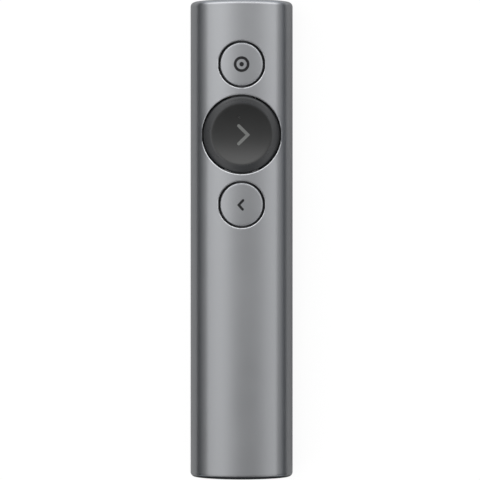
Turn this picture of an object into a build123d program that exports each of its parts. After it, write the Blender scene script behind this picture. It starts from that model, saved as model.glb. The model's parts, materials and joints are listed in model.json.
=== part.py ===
"""Wireless presentation clicker: a slim hand-held remote with three buttons and a stowed USB receiver.

Frame: X across, Y along (+Y is the nose end, by the pointer button), Z up through the button face.
The origin is the centre of the flat back. All sizes are in millimetres.
"""

from build123d import *

import os
from math import asin, degrees, hypot, radians, sin, sqrt

os.makedirs("parts", exist_ok=True)

# ---------------------------------------------------------------- driving dimensions
# Housing tube
length = 131.3
width = 28.1
height = 12.1
belt_height = 4.75  # height of the widest line above the back
crown_radius = 38.0  # shallow arc across the button face
wall = 1.4
end_bow = 0.6  # how far the middle of each end stands beyond its corners
edge_round = 1.2  # round on the tube's two end edges
end_land = 0.15  # least flat ring left between that round and the bore
end_recess = 0.2  # end pieces sit this far inside the tube's mouths

# Button openings
next_setback = 37.0  # nose end to the centre of the large button
small_hole_radius = 6.3
next_hole_radius = 11.1
button_land = 1.75  # metal left between two openings
hole_break = 0.14  # chamfer on the rims of the openings
small_ring_gap = 0.35  # between a small cap and its opening
next_ring_gap = 0.3
travel = 0.3

# Small caps
small_cap_break = 0.18
small_cap_depth = 3.15  # from the crest of the crown to the foot of the skirt
small_cap_roof = 1.9
small_cap_skirt = 1.25
flange_catch = 0.5  # how far a flange reaches under the wall
catch_gap = 0.15

# Large cap
rim_rise = 0.3  # the rim stands this far above the tube's face, all the way round
rim_round = 0.35
dish_depth = 0.91
dish_radius = 38.0  # radius of the hollow that crosses the arched face
next_cap_depth = 3.3
next_cap_roof = 1.35
next_cap_skirt = 1.3
next_cap_spokes = 6
lug_catch = 0.6
lug_width = 6.0
lug_thickness = 0.9

# Posts and switches
post_radius = 1.5
running_gap = 0.05
rib_thickness = 0.7
stem_radius = 1.1
stem_rise = 0.8  # stem above the switch case when up
stem_depth = 0.8  # stem inside the switch case
stem_break = 0.15
switch_size = 4.6
switch_height = 1.5
switch_corner = 0.5
terminal_reach = 0.6
terminal_width = 0.8
terminal_thickness = 0.2
terminal_spread = 2.6

# Chassis and main board
fit_gap = 0.15  # chassis to tube
chassis_wall = 1.0
board_depth = 7.0  # board's upper face below the crest of the crown
board_thickness = 0.8
board_gap = 0.4
board_corner = 2.0
guide_depth = 3.9  # guide plate's upper face below the crest
guide_thickness = 0.7
guide_margin = 0.35
guide_overrun = 1.2  # plate beyond the small openings
guide_corner = 2.5
boss_radius = 1.6
boss_setback = 5.2  # nose bosses behind the chassis's end wall
screw_radius = 0.6
screw_fit = 0.03
screw_head_radius = 1.1
screw_head_height = 0.5
screw_length = 2.6
screw_spare = 0.2  # hole below the screw's tip
rib_pitch = 11.5

# End pieces
nose_depth = 2.85
nose_face = 1.5
end_fit = 0.1
cap_plate = 1.6
cap_plate_gap = 0.3
bezel_thickness = 1.75
end_piece_break = 0.25
snap_arm_length = 6.5
snap_arm_width = 5.0
snap_arm_thickness = 0.8
snap_arm_pitch = 10.0
snap_hook = 0.4
snap_gap = 0.1

# Receiver (a full-size USB-A plug)
usb_a_width = 12.0
usb_a_height = 4.5
usb_a_length = 18.75
usb_a_wall = 0.3
usb_a_corner = 0.5
usb_a_window = 2.5
usb_a_window_pitch = 5.7
usb_a_window_setback = 6.4
neck_length = 3.2
neck_fit = 0.05
tongue_thickness = 1.85
tongue_setback = 0.5
contact_width = 1.0
contact_length = 7.4
contact_thickness = 0.15
contact_pitch = 2.0
contact_setback = 0.6
receiver_board_width = 9.6
receiver_board_thickness = 0.6
receiver_board_gap = 0.3
receiver_chip = 4.0
receiver_chip_height = 0.8
receiver_gap = 0.3
slot_land = 0.1  # least plastic outside the receiver's slot
receiver_rib = 0.8
bay_roof = 1.0
bay_end_gap = 0.8
grip_slot_length = 9.0
grip_slot_width = 1.0
grip_slot_depth = 0.5
grip_slot_rise = 1.5

# Leaf spring that drags on the receiver
clip_width = 3.0
clip_sheet = 0.2
clip_gap = 0.1
clip_length = 9.6
clip_setback = 2.0
clip_seat = 1.6

# Charging socket (USB-C)
usb_c_width = 8.94
usb_c_height = 3.26
usb_c_length = 7.35
usb_c_wall = 0.3
usb_c_tongue_width = 6.69
usb_c_tongue_thickness = 0.7
usb_c_tongue_length = 4.45
usb_c_core = 1.2
usb_c_side_gap = 0.25

# Battery
cell_width = 12.5
cell_length = 25.0
cell_thickness = 5.2
cell_round = 1.0
cell_end_round = 0.4
cell_side_gap = 1.55
cell_end_gap = 1.0
pad_thickness = 0.4
pad_margin = 1.5
cell_board_width = 9.0
cell_board_thickness = 0.8
cell_board_height = 3.6
cell_board_rise = 0.8
plug_width = 5.0
plug_length = 4.2
plug_height = 2.0
plug_offset = 1.0
lead_radius = 0.45
lead_pitch = 1.6
lead_drop = 0.6
lead_straight = 1.7
lead_bend = 1.4

# Vibration motor
motor_setback = 89.65  # nose end to the motor's back
motor_radius = 2.0
motor_length = 8.0
motor_seat = 0.2
motor_break = 0.15
boot_wall = 0.4
boot_side_gap = 0.9
boot_end = 0.6
motor_shaft_radius = 0.4
motor_shaft_grip = 3.0
weight_radius = 1.6
weight_length = 3.0
weight_gap = 0.5
weight_hub = 0.45
motor_lead_radius = 0.22
motor_lead_pitch = 1.6
motor_lead_reach = 1.6

# Board components
shield_width = 12.0
shield_length = 5.6
shield_height = 1.8
shield_wall = 0.2
shield_corner = 0.6
radio_size = 4.6
radio_height = 0.85
sensor_size = 3.0
sensor_height = 0.9
pin_one_break = 0.35
antenna_width = 15.0
antenna_height = 1.7
antenna_foot = 1.2
antenna_strip = 2.2
antenna_sheet = 0.2
antenna_bend = 0.4
led_length = 1.6
led_width = 0.8
led_height = 0.6
led_x = -0.7
led_offset = 4.6  # from the large button's centre towards the nose
light_pipe_radius = 0.35
light_pipe_fit = 0.03
light_pipe_gap = 0.4

# ---------------------------------------------------------------- derived places
half = length / 2
crown_drop = height - belt_height
shoulder_radius = (crown_radius**2 - (width / 2) ** 2 - (crown_radius - crown_drop) ** 2) / (2 * crown_radius - width)
shoulder_x = width / 2 - shoulder_radius
crown_angle = degrees(asin(shoulder_x / (crown_radius - shoulder_radius)))
corner_x = width / 2 - belt_height
bow_radius = ((width / 2) ** 2 + end_bow**2) / (2 * end_bow)

next_y = half - next_setback
pointer_y = next_y + next_hole_radius + button_land + small_hole_radius
back_y = next_y - next_hole_radius - button_land - small_hole_radius
button_places = {"pointer": pointer_y, "next": next_y, "back": back_y}
hole_radii = {"pointer": small_hole_radius, "next": next_hole_radius, "back": small_hole_radius}
small_cap_radius = small_hole_radius - small_ring_gap
next_cap_radius = next_hole_radius - next_ring_gap

chassis_inset = wall + fit_gap
channel_inset = chassis_inset + chassis_wall
floor_top = channel_inset
channel_half = width / 2 - channel_inset
board_top = height - board_depth
board_bottom = board_top - board_thickness
board_half = channel_half - board_gap
guide_top = height - guide_depth
guide_bottom = guide_top - guide_thickness
switch_top = board_top + switch_height
stem_top = switch_top + stem_rise
stem_bottom = switch_top - stem_depth

nose_outer = half - end_recess
chassis_nose = nose_outer - nose_depth
plate_outer = -half + end_recess
plate_inner = plate_outer + cap_plate
bezel_outer = plate_inner + cap_plate_gap
chassis_tail = bezel_outer + bezel_thickness

receiver_z = floor_top + receiver_gap + usb_a_height / 2
slot_half_height = usb_a_height / 2 + receiver_gap
slot_top = receiver_z + slot_half_height
bay_lid = slot_top + bay_roof
plug_foot = receiver_z - usb_a_height / 2
bore_reach = corner_x + sqrt((belt_height - wall) ** 2 - (belt_height - plug_foot) ** 2)
receiver_x = -bore_reach + slot_land + receiver_gap + usb_a_width / 2
slot_right = receiver_x + usb_a_width / 2 + receiver_gap
socket_left = slot_right + receiver_rib
plug_end = plate_inner + usb_a_length
bay_end = plug_end + bay_end_gap
bay_back = bay_end + chassis_wall
shell_inner_width = usb_a_width - 2 * usb_a_wall
shell_inner_height = usb_a_height - 2 * usb_a_wall

usb_c_x = socket_left + usb_c_side_gap + usb_c_width / 2
usb_c_z = board_top + usb_c_height / 2
usb_c_back = bezel_outer + usb_c_length

cell_low_y = bay_back + cell_end_gap
cell_high_y = cell_low_y + cell_length
cell_bottom = floor_top + pad_thickness
cell_x = -channel_half + cell_side_gap + cell_width / 2
cell_board_bottom = cell_bottom + cell_board_rise
leg_left = cell_x + cell_width / 2 + rib_thickness
leg_end = cell_high_y + cell_board_thickness + 3 * rib_thickness
plug_x = cell_x - plug_offset
plug_low_y = leg_end + 2 * boss_radius + board_gap
lead_z = board_top + plug_height / 2

motor_y = half - motor_setback
motor_end = motor_y - motor_length
motor_z = board_top + motor_seat + motor_radius
motor_x = leg_left + boot_side_gap + boot_wall + motor_radius
boot_reach = motor_radius + boot_wall

shield_y = (back_y + next_y) / 2
sensor_y = (next_y + pointer_y) / 2
led_y = next_y + led_offset


# ---------------------------------------------------------------- helpers
def housing_core(inset, y_low, y_high, bowed_low=False, bowed_high=False):
    """Solid of the tube's cross-section, moved inwards by inset, between two places along Y.

    A bowed end bulges outwards in plan and reaches its place on the centre line.
    """
    with BuildPart() as core:
        with BuildSketch(Plane.XZ.offset(-y_high)):
            with BuildLine():
                CenterArc((0, height - crown_radius), crown_radius - inset, 90 - crown_angle, 2 * crown_angle)
                CenterArc((shoulder_x, belt_height), shoulder_radius - inset, 0, 90 - crown_angle)
                CenterArc((-shoulder_x, belt_height), shoulder_radius - inset, 90 + crown_angle, 90 - crown_angle)
                CenterArc((corner_x, belt_height), belt_height - inset, -90, 90)
                CenterArc((-corner_x, belt_height), belt_height - inset, 180, 90)
                Line((-corner_x, inset), (corner_x, inset))
            make_face()
        extrude(amount=y_high - y_low)
        if bowed_low:
            with BuildSketch():
                with Locations((0, y_low + bow_radius)):
                    Circle(bow_radius)
            extrude(amount=height, mode=Mode.INTERSECT)
        if bowed_high:
            with BuildSketch():
                with Locations((0, y_high - bow_radius)):
                    Circle(bow_radius)
            extrude(amount=height, mode=Mode.INTERSECT)
    return core.part


def block(x_range, y_range, z_range):
    """Plain box between two limits along each axis."""
    with BuildPart() as piece:
        with BuildSketch(Plane.XY.offset(z_range[0])):
            with Locations(((x_range[0] + x_range[1]) / 2, (y_range[0] + y_range[1]) / 2)):
                Rectangle(x_range[1] - x_range[0], y_range[1] - y_range[0])
        extrude(amount=z_range[1] - z_range[0])
    return piece.part


def surface_height(x, inset=0.0):
    """Height of the button face at x, measured on the cross-section moved inwards by inset."""
    crown_limit = (crown_radius - inset) * sin(radians(crown_angle))
    if abs(x) <= crown_limit:
        return height - crown_radius + sqrt((crown_radius - inset) ** 2 - x**2)
    return belt_height + sqrt((shoulder_radius - inset) ** 2 - (abs(x) - shoulder_x) ** 2)


def half_width(level, inset=0.0):
    """Half the cross-section's width at a level above the belt line."""
    return shoulder_x + sqrt((shoulder_radius - inset) ** 2 - (level - belt_height) ** 2)


def is_upper_rim(edge, radius, place, inset=0.0):
    """True for an edge of a round opening or cap where it meets the button face, or that face moved by inset."""
    point = edge.position_at(0.5)
    on_circle = abs(hypot(point.X, point.Y - place) - radius) < 0.01
    return on_circle and abs(point.Z - surface_height(point.X, inset)) < 0.01


def export_piece(builder, name):
    """Label a finished piece and write it as parts/NAME.step."""
    builder.part.label = name
    export_step(builder.part, f"parts/{name}.step")


# ---------------------------------------------------------------- housing tube
bore = housing_core(wall, -half - 1, half + 1)
with BuildPart() as body_tube:
    add(housing_core(0, -half, half, bowed_low=True, bowed_high=True))
    outer_faces = body_tube.faces().sort_by(Axis.Y)
    fillet(outer_faces[0].edges() + outer_faces[-1].edges(), min(edge_round, wall - end_land))
    add(bore, mode=Mode.SUBTRACT)
    for name, place in button_places.items():
        with BuildSketch(Plane.XY.offset(belt_height)):
            with Locations((0, place)):
                Circle(hole_radii[name])
        extrude(amount=height, mode=Mode.SUBTRACT)
    for name, place in button_places.items():
        radius = hole_radii[name]
        chamfer(body_tube.edges().filter_by(lambda edge: is_upper_rim(edge, radius, place)), hole_break)
export_piece(body_tube, "body_tube")

# ---------------------------------------------------------------- nose cap with its two snap arms
snap_arm_z = floor_top + snap_gap
snap_end = chassis_nose - snap_arm_length
with BuildPart() as nose_cap:
    add(housing_core(wall + end_fit, chassis_nose, nose_outer, bowed_high=True))
    chamfer(nose_cap.faces().sort_by(Axis.Y)[-1].edges(), end_piece_break)
    add(housing_core(channel_inset, chassis_nose - 1, nose_outer - nose_face), mode=Mode.SUBTRACT)
    with BuildSketch(Plane.YZ.offset(-snap_arm_width / 2)) as arm_profile:
        with BuildLine():
            Polyline(
                (nose_outer - nose_face, snap_arm_z), (snap_end + 3 * snap_hook, snap_arm_z),
                (snap_end + 3 * snap_hook, snap_arm_z - snap_hook), (snap_end + snap_hook, snap_arm_z - snap_hook),
                (snap_end, snap_arm_z), (snap_end, snap_arm_z + snap_arm_thickness),
                (nose_outer - nose_face, snap_arm_z + snap_arm_thickness), close=True,
            )
        make_face()
    for side in (-1, 1):
        with Locations((side * snap_arm_pitch / 2, 0, 0)):
            add(extrude(arm_profile.sketch, amount=snap_arm_width, mode=Mode.PRIVATE))
export_piece(nose_cap, "nose_cap")

# ---------------------------------------------------------------- chassis: a moulded tray that follows the bore
channel = housing_core(channel_inset, -half, half)
main_pocket = channel & block((-width, width), (bay_back, chassis_nose - chassis_wall), (floor_top, height))
socket_pocket = channel & block((socket_left, width), (-half, bay_back), (floor_top, height))
above_rails = block((-width, width), (bay_back - 1, half), (guide_bottom, height))
above_bay = block((-width, socket_left), (-half, bay_back), (bay_lid, height))
above_leg = block((socket_left, width), (-half, bay_back), (guide_bottom, height))
beside_socket = block((socket_left, width), (-half, usb_c_back + board_gap), (board_bottom, height))
receiver_slot = block((-width, slot_right), (-half, bay_end), (receiver_z - slot_half_height, slot_top))
boss_x = board_half - boss_radius
boss_places = [
    (boss_x, chassis_nose - chassis_wall - boss_setback),
    (-boss_x, chassis_nose - chassis_wall - boss_setback),
    (-boss_x, leg_end + boss_radius + board_gap),
    (boss_x, usb_c_back + 3 * boss_radius),
]
clip_high = bay_end - clip_setback
rail_right = leg_left + rib_thickness
first_rib = leg_end + 2 * boss_radius + board_gap + 4 * rib_thickness
last_rib = chassis_nose - chassis_wall - boss_setback - boss_radius - rib_thickness
rib_count = int((last_rib - first_rib) // rib_pitch) + 1
with BuildPart() as chassis:
    add(housing_core(chassis_inset, chassis_tail, chassis_nose))
    for space in (main_pocket, socket_pocket, above_rails, above_bay, above_leg, beside_socket, receiver_slot):
        add(space, mode=Mode.SUBTRACT)
    with BuildSketch(Plane.XY.offset(floor_top)):
        # Bosses for the board's screws
        with Locations(*boss_places):
            Circle(boss_radius)
        # Cross ribs under the board
        with Locations(*[(0, first_rib + index * rib_pitch) for index in range(rib_count)]):
            Rectangle(2 * board_half, rib_thickness)
        # Rail under the edge of the board's leg, beside the battery
        with Locations((leg_left + rib_thickness / 2, (bay_back + leg_end) / 2)):
            Rectangle(rib_thickness, leg_end - bay_back)
        # Wall that stops the battery, across the end of that rail
        with Locations(((rail_right - channel_half) / 2, leg_end + rib_thickness / 2)):
            Rectangle(rail_right + channel_half, rib_thickness)
    extrude(amount=board_bottom - floor_top)
    with Locations(*[(x, y, board_bottom) for x, y in boss_places]):
        Hole(screw_radius, depth=screw_length - board_thickness + screw_spare)
    # Slot in the bay's roof for the receiver's leaf spring
    with BuildSketch(Plane.XY.offset(slot_top)):
        with Locations((receiver_x, clip_high - clip_length / 2)):
            Rectangle(clip_width + 2 * receiver_gap, clip_length)
    extrude(amount=bay_roof, mode=Mode.SUBTRACT)
    # Windows for the nose cap's arms, and pockets in the floor for their hooks
    with BuildSketch(Plane.XY.offset(floor_top)):
        with Locations(*[(side * snap_arm_pitch / 2, chassis_nose) for side in (-1, 1)]):
            Rectangle(snap_arm_width + 2 * snap_gap, 4 * chassis_wall)
    extrude(amount=snap_arm_thickness + 2 * snap_gap, mode=Mode.SUBTRACT)
    with BuildSketch(Plane.XY.offset(floor_top)):
        with Locations(*[(side * snap_arm_pitch / 2, snap_end + 1.5 * snap_hook) for side in (-1, 1)]):
            Rectangle(snap_arm_width + 2 * snap_gap, 3 * snap_hook + 2 * snap_gap)
    extrude(amount=-(snap_hook + snap_gap), mode=Mode.SUBTRACT)
export_piece(chassis, "chassis")

# ---------------------------------------------------------------- tail bezel
with BuildPart() as tail_bezel:
    add(housing_core(wall + end_fit, bezel_outer, chassis_tail))
    with BuildSketch(Plane.XZ.offset(-chassis_tail)):
        with Locations((receiver_x, receiver_z)):
            RectangleRounded(usb_a_width + 2 * receiver_gap, 2 * slot_half_height, usb_a_corner)
        with Locations((usb_c_x, usb_c_z)):
            RectangleRounded(usb_c_width + 2 * end_fit, usb_c_height + 2 * end_fit, usb_c_height / 2)
    extrude(amount=bezel_thickness, mode=Mode.SUBTRACT)
export_piece(tail_bezel, "tail_bezel")

# ---------------------------------------------------------------- guide plate for the button posts
guide_low_y = back_y - small_hole_radius - guide_overrun
guide_high_y = pointer_y + small_hole_radius + guide_overrun
guide_half = half_width(guide_top, wall) - guide_margin
with BuildPart() as button_guide:
    with BuildSketch(Plane.XY.offset(guide_bottom)):
        with Locations((0, (guide_low_y + guide_high_y) / 2)):
            RectangleRounded(2 * guide_half, guide_high_y - guide_low_y, guide_corner)
        with Locations(*[(0, place) for place in button_places.values()]):
            Circle(post_radius + running_gap, mode=Mode.SUBTRACT)
        with Locations((led_x, led_y)):
            Circle(2 * light_pipe_radius, mode=Mode.SUBTRACT)
        with Locations((0, shield_y), (0, sensor_y)):
            SlotOverall(1.5 * small_hole_radius, button_land + small_hole_radius / 2, mode=Mode.SUBTRACT)
    extrude(amount=guide_thickness)
export_piece(button_guide, "button_guide")

# ---------------------------------------------------------------- main board and its screws
board_nose = chassis_nose - chassis_wall - board_gap
board_tail = chassis_tail + end_fit
board_step = bay_back - board_gap
with BuildPart() as main_board:
    with BuildSketch(Plane.XY.offset(board_bottom)) as board_outline:
        with BuildLine():
            Polyline(
                (-board_half, board_nose), (board_half, board_nose), (board_half, board_tail),
                (socket_left + board_gap, board_tail), (socket_left + board_gap, board_step),
                (leg_left, board_step), (leg_left, leg_end), (-board_half, leg_end), close=True,
            )
        make_face()
        fillet(board_outline.vertices().sort_by(Axis.Y)[-2:], board_corner)
        with Locations(*boss_places):
            Circle(screw_radius, mode=Mode.SUBTRACT)
    extrude(amount=board_thickness)
export_piece(main_board, "main_board")

with BuildPart() as board_screws:
    with BuildSketch(Plane.XY.offset(board_top)):
        with Locations(*boss_places):
            Circle(screw_head_radius)
    extrude(amount=screw_head_height)
    with BuildSketch(Plane.XY.offset(board_top)):
        with Locations(*boss_places):
            Circle(screw_radius - screw_fit)
    extrude(amount=-screw_length)
export_piece(board_screws, "board_screws")

# ---------------------------------------------------------------- switch cases under the buttons
terminal_x = switch_size / 2 + terminal_reach / 2
for name, place in button_places.items():
    with BuildPart() as switch:
        with BuildSketch(Plane.XY.offset(board_top)) as case_outline:
            with Locations((0, place)):
                Rectangle(switch_size, switch_size)
            chamfer(case_outline.vertices(), switch_corner)
        extrude(amount=switch_height)
        with BuildSketch(Plane.XY.offset(board_top)):
            with Locations((0, place)):
                with GridLocations(2 * terminal_x, terminal_spread, 2, 2):
                    Rectangle(terminal_reach, terminal_width)
        extrude(amount=terminal_thickness)
        with Locations((0, place, switch_top)):
            Hole(stem_radius + running_gap, depth=stem_depth + travel + running_gap)
    export_piece(switch, f"{name}_switch")

# ---------------------------------------------------------------- radio, sensor, antenna and indicator
with BuildPart() as shield_can:
    with BuildSketch(Plane.XY.offset(board_top)):
        with Locations((0, shield_y)):
            RectangleRounded(shield_width, shield_length, shield_corner)
    extrude(amount=shield_height)
    with BuildSketch(Plane.XY.offset(board_top)):
        with Locations((0, shield_y)):
            Rectangle(shield_width - 2 * shield_wall, shield_length - 2 * shield_wall)
    extrude(amount=shield_height - shield_wall, mode=Mode.SUBTRACT)
export_piece(shield_can, "shield_can")

for name, size, rise, place in (
    ("radio_chip", radio_size, radio_height, shield_y),
    ("motion_sensor", sensor_size, sensor_height, sensor_y),
):
    with BuildPart() as chip:
        with BuildSketch(Plane.XY.offset(board_top)) as chip_outline:
            with Locations((0, place)):
                Rectangle(size, size)
            chamfer(chip_outline.vertices().sort_by(Axis.X)[:1], pin_one_break)
        extrude(amount=rise)
    export_piece(chip, name)

antenna_high_y = board_nose - boss_radius
antenna_reach = antenna_width / 2
antenna_foot_z = board_top + antenna_sheet / 2
with BuildPart() as antenna:
    with BuildSketch(Plane.XZ.offset(-antenna_high_y)):
        with BuildLine():
            FilletPolyline(
                (-antenna_reach, antenna_foot_z), (-antenna_reach + antenna_foot, antenna_foot_z),
                (-antenna_reach + antenna_foot, board_top + antenna_height),
                (antenna_reach - antenna_foot, board_top + antenna_height),
                (antenna_reach - antenna_foot, antenna_foot_z), (antenna_reach, antenna_foot_z),
                radius=antenna_bend,
            )
        trace(line_width=antenna_sheet)
    extrude(amount=antenna_strip)
export_piece(antenna, "antenna")

with BuildPart() as status_led:
    with BuildSketch(Plane.XY.offset(board_top)):
        with Locations((led_x, led_y)):
            Rectangle(led_length, led_width)
    extrude(amount=led_height)
export_piece(status_led, "status_led")

# ---------------------------------------------------------------- charging socket
usb_c_station = Plane.XZ.offset(-usb_c_back)
with BuildPart() as usb_c_shell:
    with BuildSketch(usb_c_station):
        with Locations((usb_c_x, usb_c_z)):
            SlotOverall(usb_c_width, usb_c_height)
    extrude(amount=usb_c_length)
    with BuildSketch(usb_c_station.offset(usb_c_wall)):
        with Locations((usb_c_x, usb_c_z)):
            SlotOverall(usb_c_width - 2 * usb_c_wall, usb_c_height - 2 * usb_c_wall)
    extrude(amount=usb_c_length, mode=Mode.SUBTRACT)
export_piece(usb_c_shell, "usb_c_shell")

with BuildPart() as usb_c_tongue:
    with BuildSketch(usb_c_station.offset(usb_c_wall)):
        with Locations((usb_c_x, usb_c_z)):
            SlotOverall(usb_c_width - 2 * usb_c_wall - end_fit, usb_c_height - 2 * usb_c_wall - end_fit)
    extrude(amount=usb_c_core)
    with BuildSketch(usb_c_station.offset(usb_c_wall + usb_c_core)):
        with Locations((usb_c_x, usb_c_z)):
            Rectangle(usb_c_tongue_width, usb_c_tongue_thickness)
    extrude(amount=usb_c_tongue_length)
    chamfer(usb_c_tongue.faces().sort_by(Axis.Y)[0].edges().filter_by(Axis.X), usb_c_tongue_thickness / 4)
export_piece(usb_c_tongue, "usb_c_tongue")

# ---------------------------------------------------------------- battery
cell_sides = (cell_x - cell_width / 2, cell_x + cell_width / 2)
with BuildPart() as battery_pad:
    add(block((cell_sides[0] + pad_margin, cell_sides[1] - pad_margin),
              (cell_low_y + pad_margin, cell_high_y - pad_margin), (floor_top, cell_bottom)))
export_piece(battery_pad, "battery_pad")

with BuildPart() as battery_cell:
    add(block(cell_sides, (cell_low_y, cell_high_y), (cell_bottom, cell_bottom + cell_thickness)))
    fillet(battery_cell.edges().filter_by(Axis.Y), cell_round)
    fillet(battery_cell.faces().sort_by(Axis.Y)[0].edges(), cell_end_round)
export_piece(battery_cell, "battery_cell")

cell_board_face = cell_high_y + cell_board_thickness
with BuildPart() as battery_board:
    add(block((cell_x - cell_board_width / 2, cell_x + cell_board_width / 2), (cell_high_y, cell_board_face),
              (cell_board_bottom, cell_board_bottom + cell_board_height)))
export_piece(battery_board, "battery_board")

with BuildPart() as battery_plug:
    add(block((plug_x - plug_width / 2, plug_x + plug_width / 2),
              (plug_low_y, plug_low_y + plug_length), (board_top, board_top + plug_height)))
    chamfer(battery_plug.faces().sort_by(Axis.Z)[-1].edges().filter_by(Axis.Y), lead_radius)
export_piece(battery_plug, "battery_plug")

with BuildPart() as battery_leads:
    for side in (-1, 1):
        lead_x = plug_x + side * lead_pitch / 2
        with BuildLine() as lead_path:
            FilletPolyline(
                (lead_x, cell_board_face, lead_z + lead_drop),
                (lead_x, cell_board_face + lead_straight, lead_z + lead_drop),
                (lead_x, plug_low_y - lead_straight, lead_z),
                (lead_x, plug_low_y, lead_z),
                radius=lead_bend,
            )
        with BuildSketch(Plane.XZ.offset(-cell_board_face)):
            with Locations((lead_x, lead_z + lead_drop)):
                Circle(lead_radius)
        sweep(path=lead_path.wire())
export_piece(battery_leads, "battery_leads")

# ---------------------------------------------------------------- vibration motor
motor_station = Plane.XZ.offset(-motor_y)
with BuildPart() as motor_can:
    with BuildSketch(motor_station):
        with Locations((motor_x, motor_z)):
            Circle(motor_radius)
    extrude(amount=motor_length)
    chamfer(motor_can.edges().filter_by(GeomType.CIRCLE), motor_break)
    with BuildSketch(Plane.XZ.offset(-motor_end)):
        with Locations((motor_x, motor_z)):
            Circle(motor_shaft_radius + running_gap)
    extrude(amount=-(motor_shaft_grip + running_gap), mode=Mode.SUBTRACT)
export_piece(motor_can, "motor_can")

with BuildPart() as motor_boot:
    with BuildSketch(motor_station.offset(boot_end)):
        with Locations((motor_x, motor_z)):
            Circle(boot_reach)
        with Locations((motor_x, (board_top + motor_z) / 2)):
            Rectangle(2 * boot_reach, motor_z - board_top)
        with Locations((motor_x, board_top)):
            Rectangle(2 * boot_reach, boot_reach, align=(Align.CENTER, Align.MAX), mode=Mode.SUBTRACT)
        with Locations((motor_x, motor_z)):
            Circle(motor_radius, mode=Mode.SUBTRACT)
    extrude(amount=motor_length - 2 * boot_end)
export_piece(motor_boot, "motor_boot")

with BuildPart() as motor_leads:
    for side in (-1, 1):
        lead_x = motor_x + side * motor_lead_pitch / 2
        with BuildLine() as lead_path:
            FilletPolyline(
                (lead_x, motor_y, motor_z), (lead_x, motor_y + motor_lead_reach, motor_z),
                (lead_x, motor_y + motor_lead_reach, board_top), radius=motor_lead_reach / 2,
            )
        with BuildSketch(motor_station):
            with Locations((lead_x, motor_z)):
                Circle(motor_lead_radius)
        sweep(path=lead_path.wire())
export_piece(motor_leads, "motor_leads")

with BuildPart() as motor_shaft:
    with BuildSketch(Plane.XZ.offset(-(motor_end + motor_shaft_grip))):
        with Locations((motor_x, motor_z)):
            Circle(motor_shaft_radius)
    extrude(amount=motor_shaft_grip + weight_gap + weight_length)
export_piece(motor_shaft, "motor_shaft")

with BuildPart() as motor_weight:
    with BuildSketch(Plane.XZ.offset(-(motor_end - weight_gap))):
        with Locations((motor_x, motor_z)):
            Circle(weight_radius)
            Rectangle(2 * weight_radius, 2 * weight_radius, align=(Align.CENTER, Align.MIN), mode=Mode.SUBTRACT)
            Circle(motor_shaft_radius + weight_hub)
            Circle(motor_shaft_radius, mode=Mode.SUBTRACT)
    extrude(amount=weight_length)
export_piece(motor_weight, "motor_weight")

# ---------------------------------------------------------------- small caps
skirt_foot = height - small_cap_depth
flange_space = housing_core(wall + catch_gap, -half, half)
face_form = housing_core(0, -half, half)
cavity_height = small_cap_depth - small_cap_roof
for name in ("pointer", "back"):
    place = button_places[name]
    with BuildPart() as flange:
        with BuildSketch(Plane.XY.offset(skirt_foot)):
            with Locations((0, place)):
                Circle(small_hole_radius + flange_catch)
        extrude(amount=height)
        add(flange_space, mode=Mode.INTERSECT)
    with BuildPart() as cap:
        with BuildSketch(Plane.XY.offset(skirt_foot)):
            with Locations((0, place)):
                Circle(small_cap_radius)
        extrude(amount=height)
        add(face_form, mode=Mode.INTERSECT)
        chamfer(cap.edges().filter_by(lambda edge: is_upper_rim(edge, small_cap_radius, place)), small_cap_break)
        add(flange.part)
        with BuildSketch(Plane.XY.offset(skirt_foot)):
            with Locations((0, place)):
                Circle(small_cap_radius - small_cap_skirt)
                Rectangle(2 * small_cap_radius, rib_thickness, mode=Mode.SUBTRACT)
                Rectangle(rib_thickness, 2 * small_cap_radius, mode=Mode.SUBTRACT)
        extrude(amount=cavity_height, mode=Mode.SUBTRACT)
        with BuildSketch(Plane.XY.offset(stem_top)):
            with Locations((0, place)):
                Circle(post_radius)
        extrude(amount=skirt_foot + cavity_height - stem_top)
    export_piece(cap, f"{name}_cap")

# ---------------------------------------------------------------- large cap
# Its rim follows the tube's arch and its dish is a hollow that crosses the arch, so the dish's outline is round
rim_top = height + rim_rise
dish_floor = rim_top - dish_depth
next_foot = height - next_cap_depth
next_roof = dish_floor - next_cap_roof
lug_top = surface_height(lug_width / 2, wall) - catch_gap
raised_form = housing_core(-rim_rise, -half, half)
with BuildPart() as next_cap:
    with BuildSketch(Plane.XY.offset(next_foot)):
        with Locations((0, next_y)):
            Circle(next_cap_radius)
    extrude(amount=height)
    add(raised_form, mode=Mode.INTERSECT)
    fillet(next_cap.edges().filter_by(
        lambda edge: is_upper_rim(edge, next_cap_radius, next_y, -rim_rise)), rim_round)
    with BuildSketch(Plane.YZ.offset(-next_cap_radius)):
        with Locations((next_y, dish_floor + dish_radius)):
            Circle(dish_radius)
    extrude(amount=2 * next_cap_radius, mode=Mode.SUBTRACT)
    # Hollow underside with radial ribs and the post
    with BuildSketch(Plane.XY.offset(next_foot)):
        with Locations((0, next_y)):
            Circle(next_cap_radius - next_cap_skirt)
            with PolarLocations(0, next_cap_spokes // 2, angular_range=180):
                Rectangle(2 * next_cap_radius, rib_thickness, mode=Mode.SUBTRACT)
    extrude(amount=next_roof - next_foot, mode=Mode.SUBTRACT)
    with BuildSketch(Plane.XY.offset(stem_top)):
        with Locations((0, next_y)):
            Circle(post_radius)
    extrude(amount=next_roof - stem_top)
    # Two lugs that catch under the tube's wall, fore and aft
    with BuildSketch(Plane.XY.offset(lug_top - lug_thickness)):
        with Locations((0, next_y)):
            Circle(next_hole_radius + lug_catch)
            Rectangle(lug_width, 4 * next_hole_radius, mode=Mode.INTERSECT)
            Circle(next_cap_radius - rim_round, mode=Mode.SUBTRACT)
    extrude(amount=lug_thickness)
    with Locations((led_x, led_y, rim_top)):
        Hole(light_pipe_radius + light_pipe_fit, depth=height)
export_piece(next_cap, "next_cap")

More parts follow.
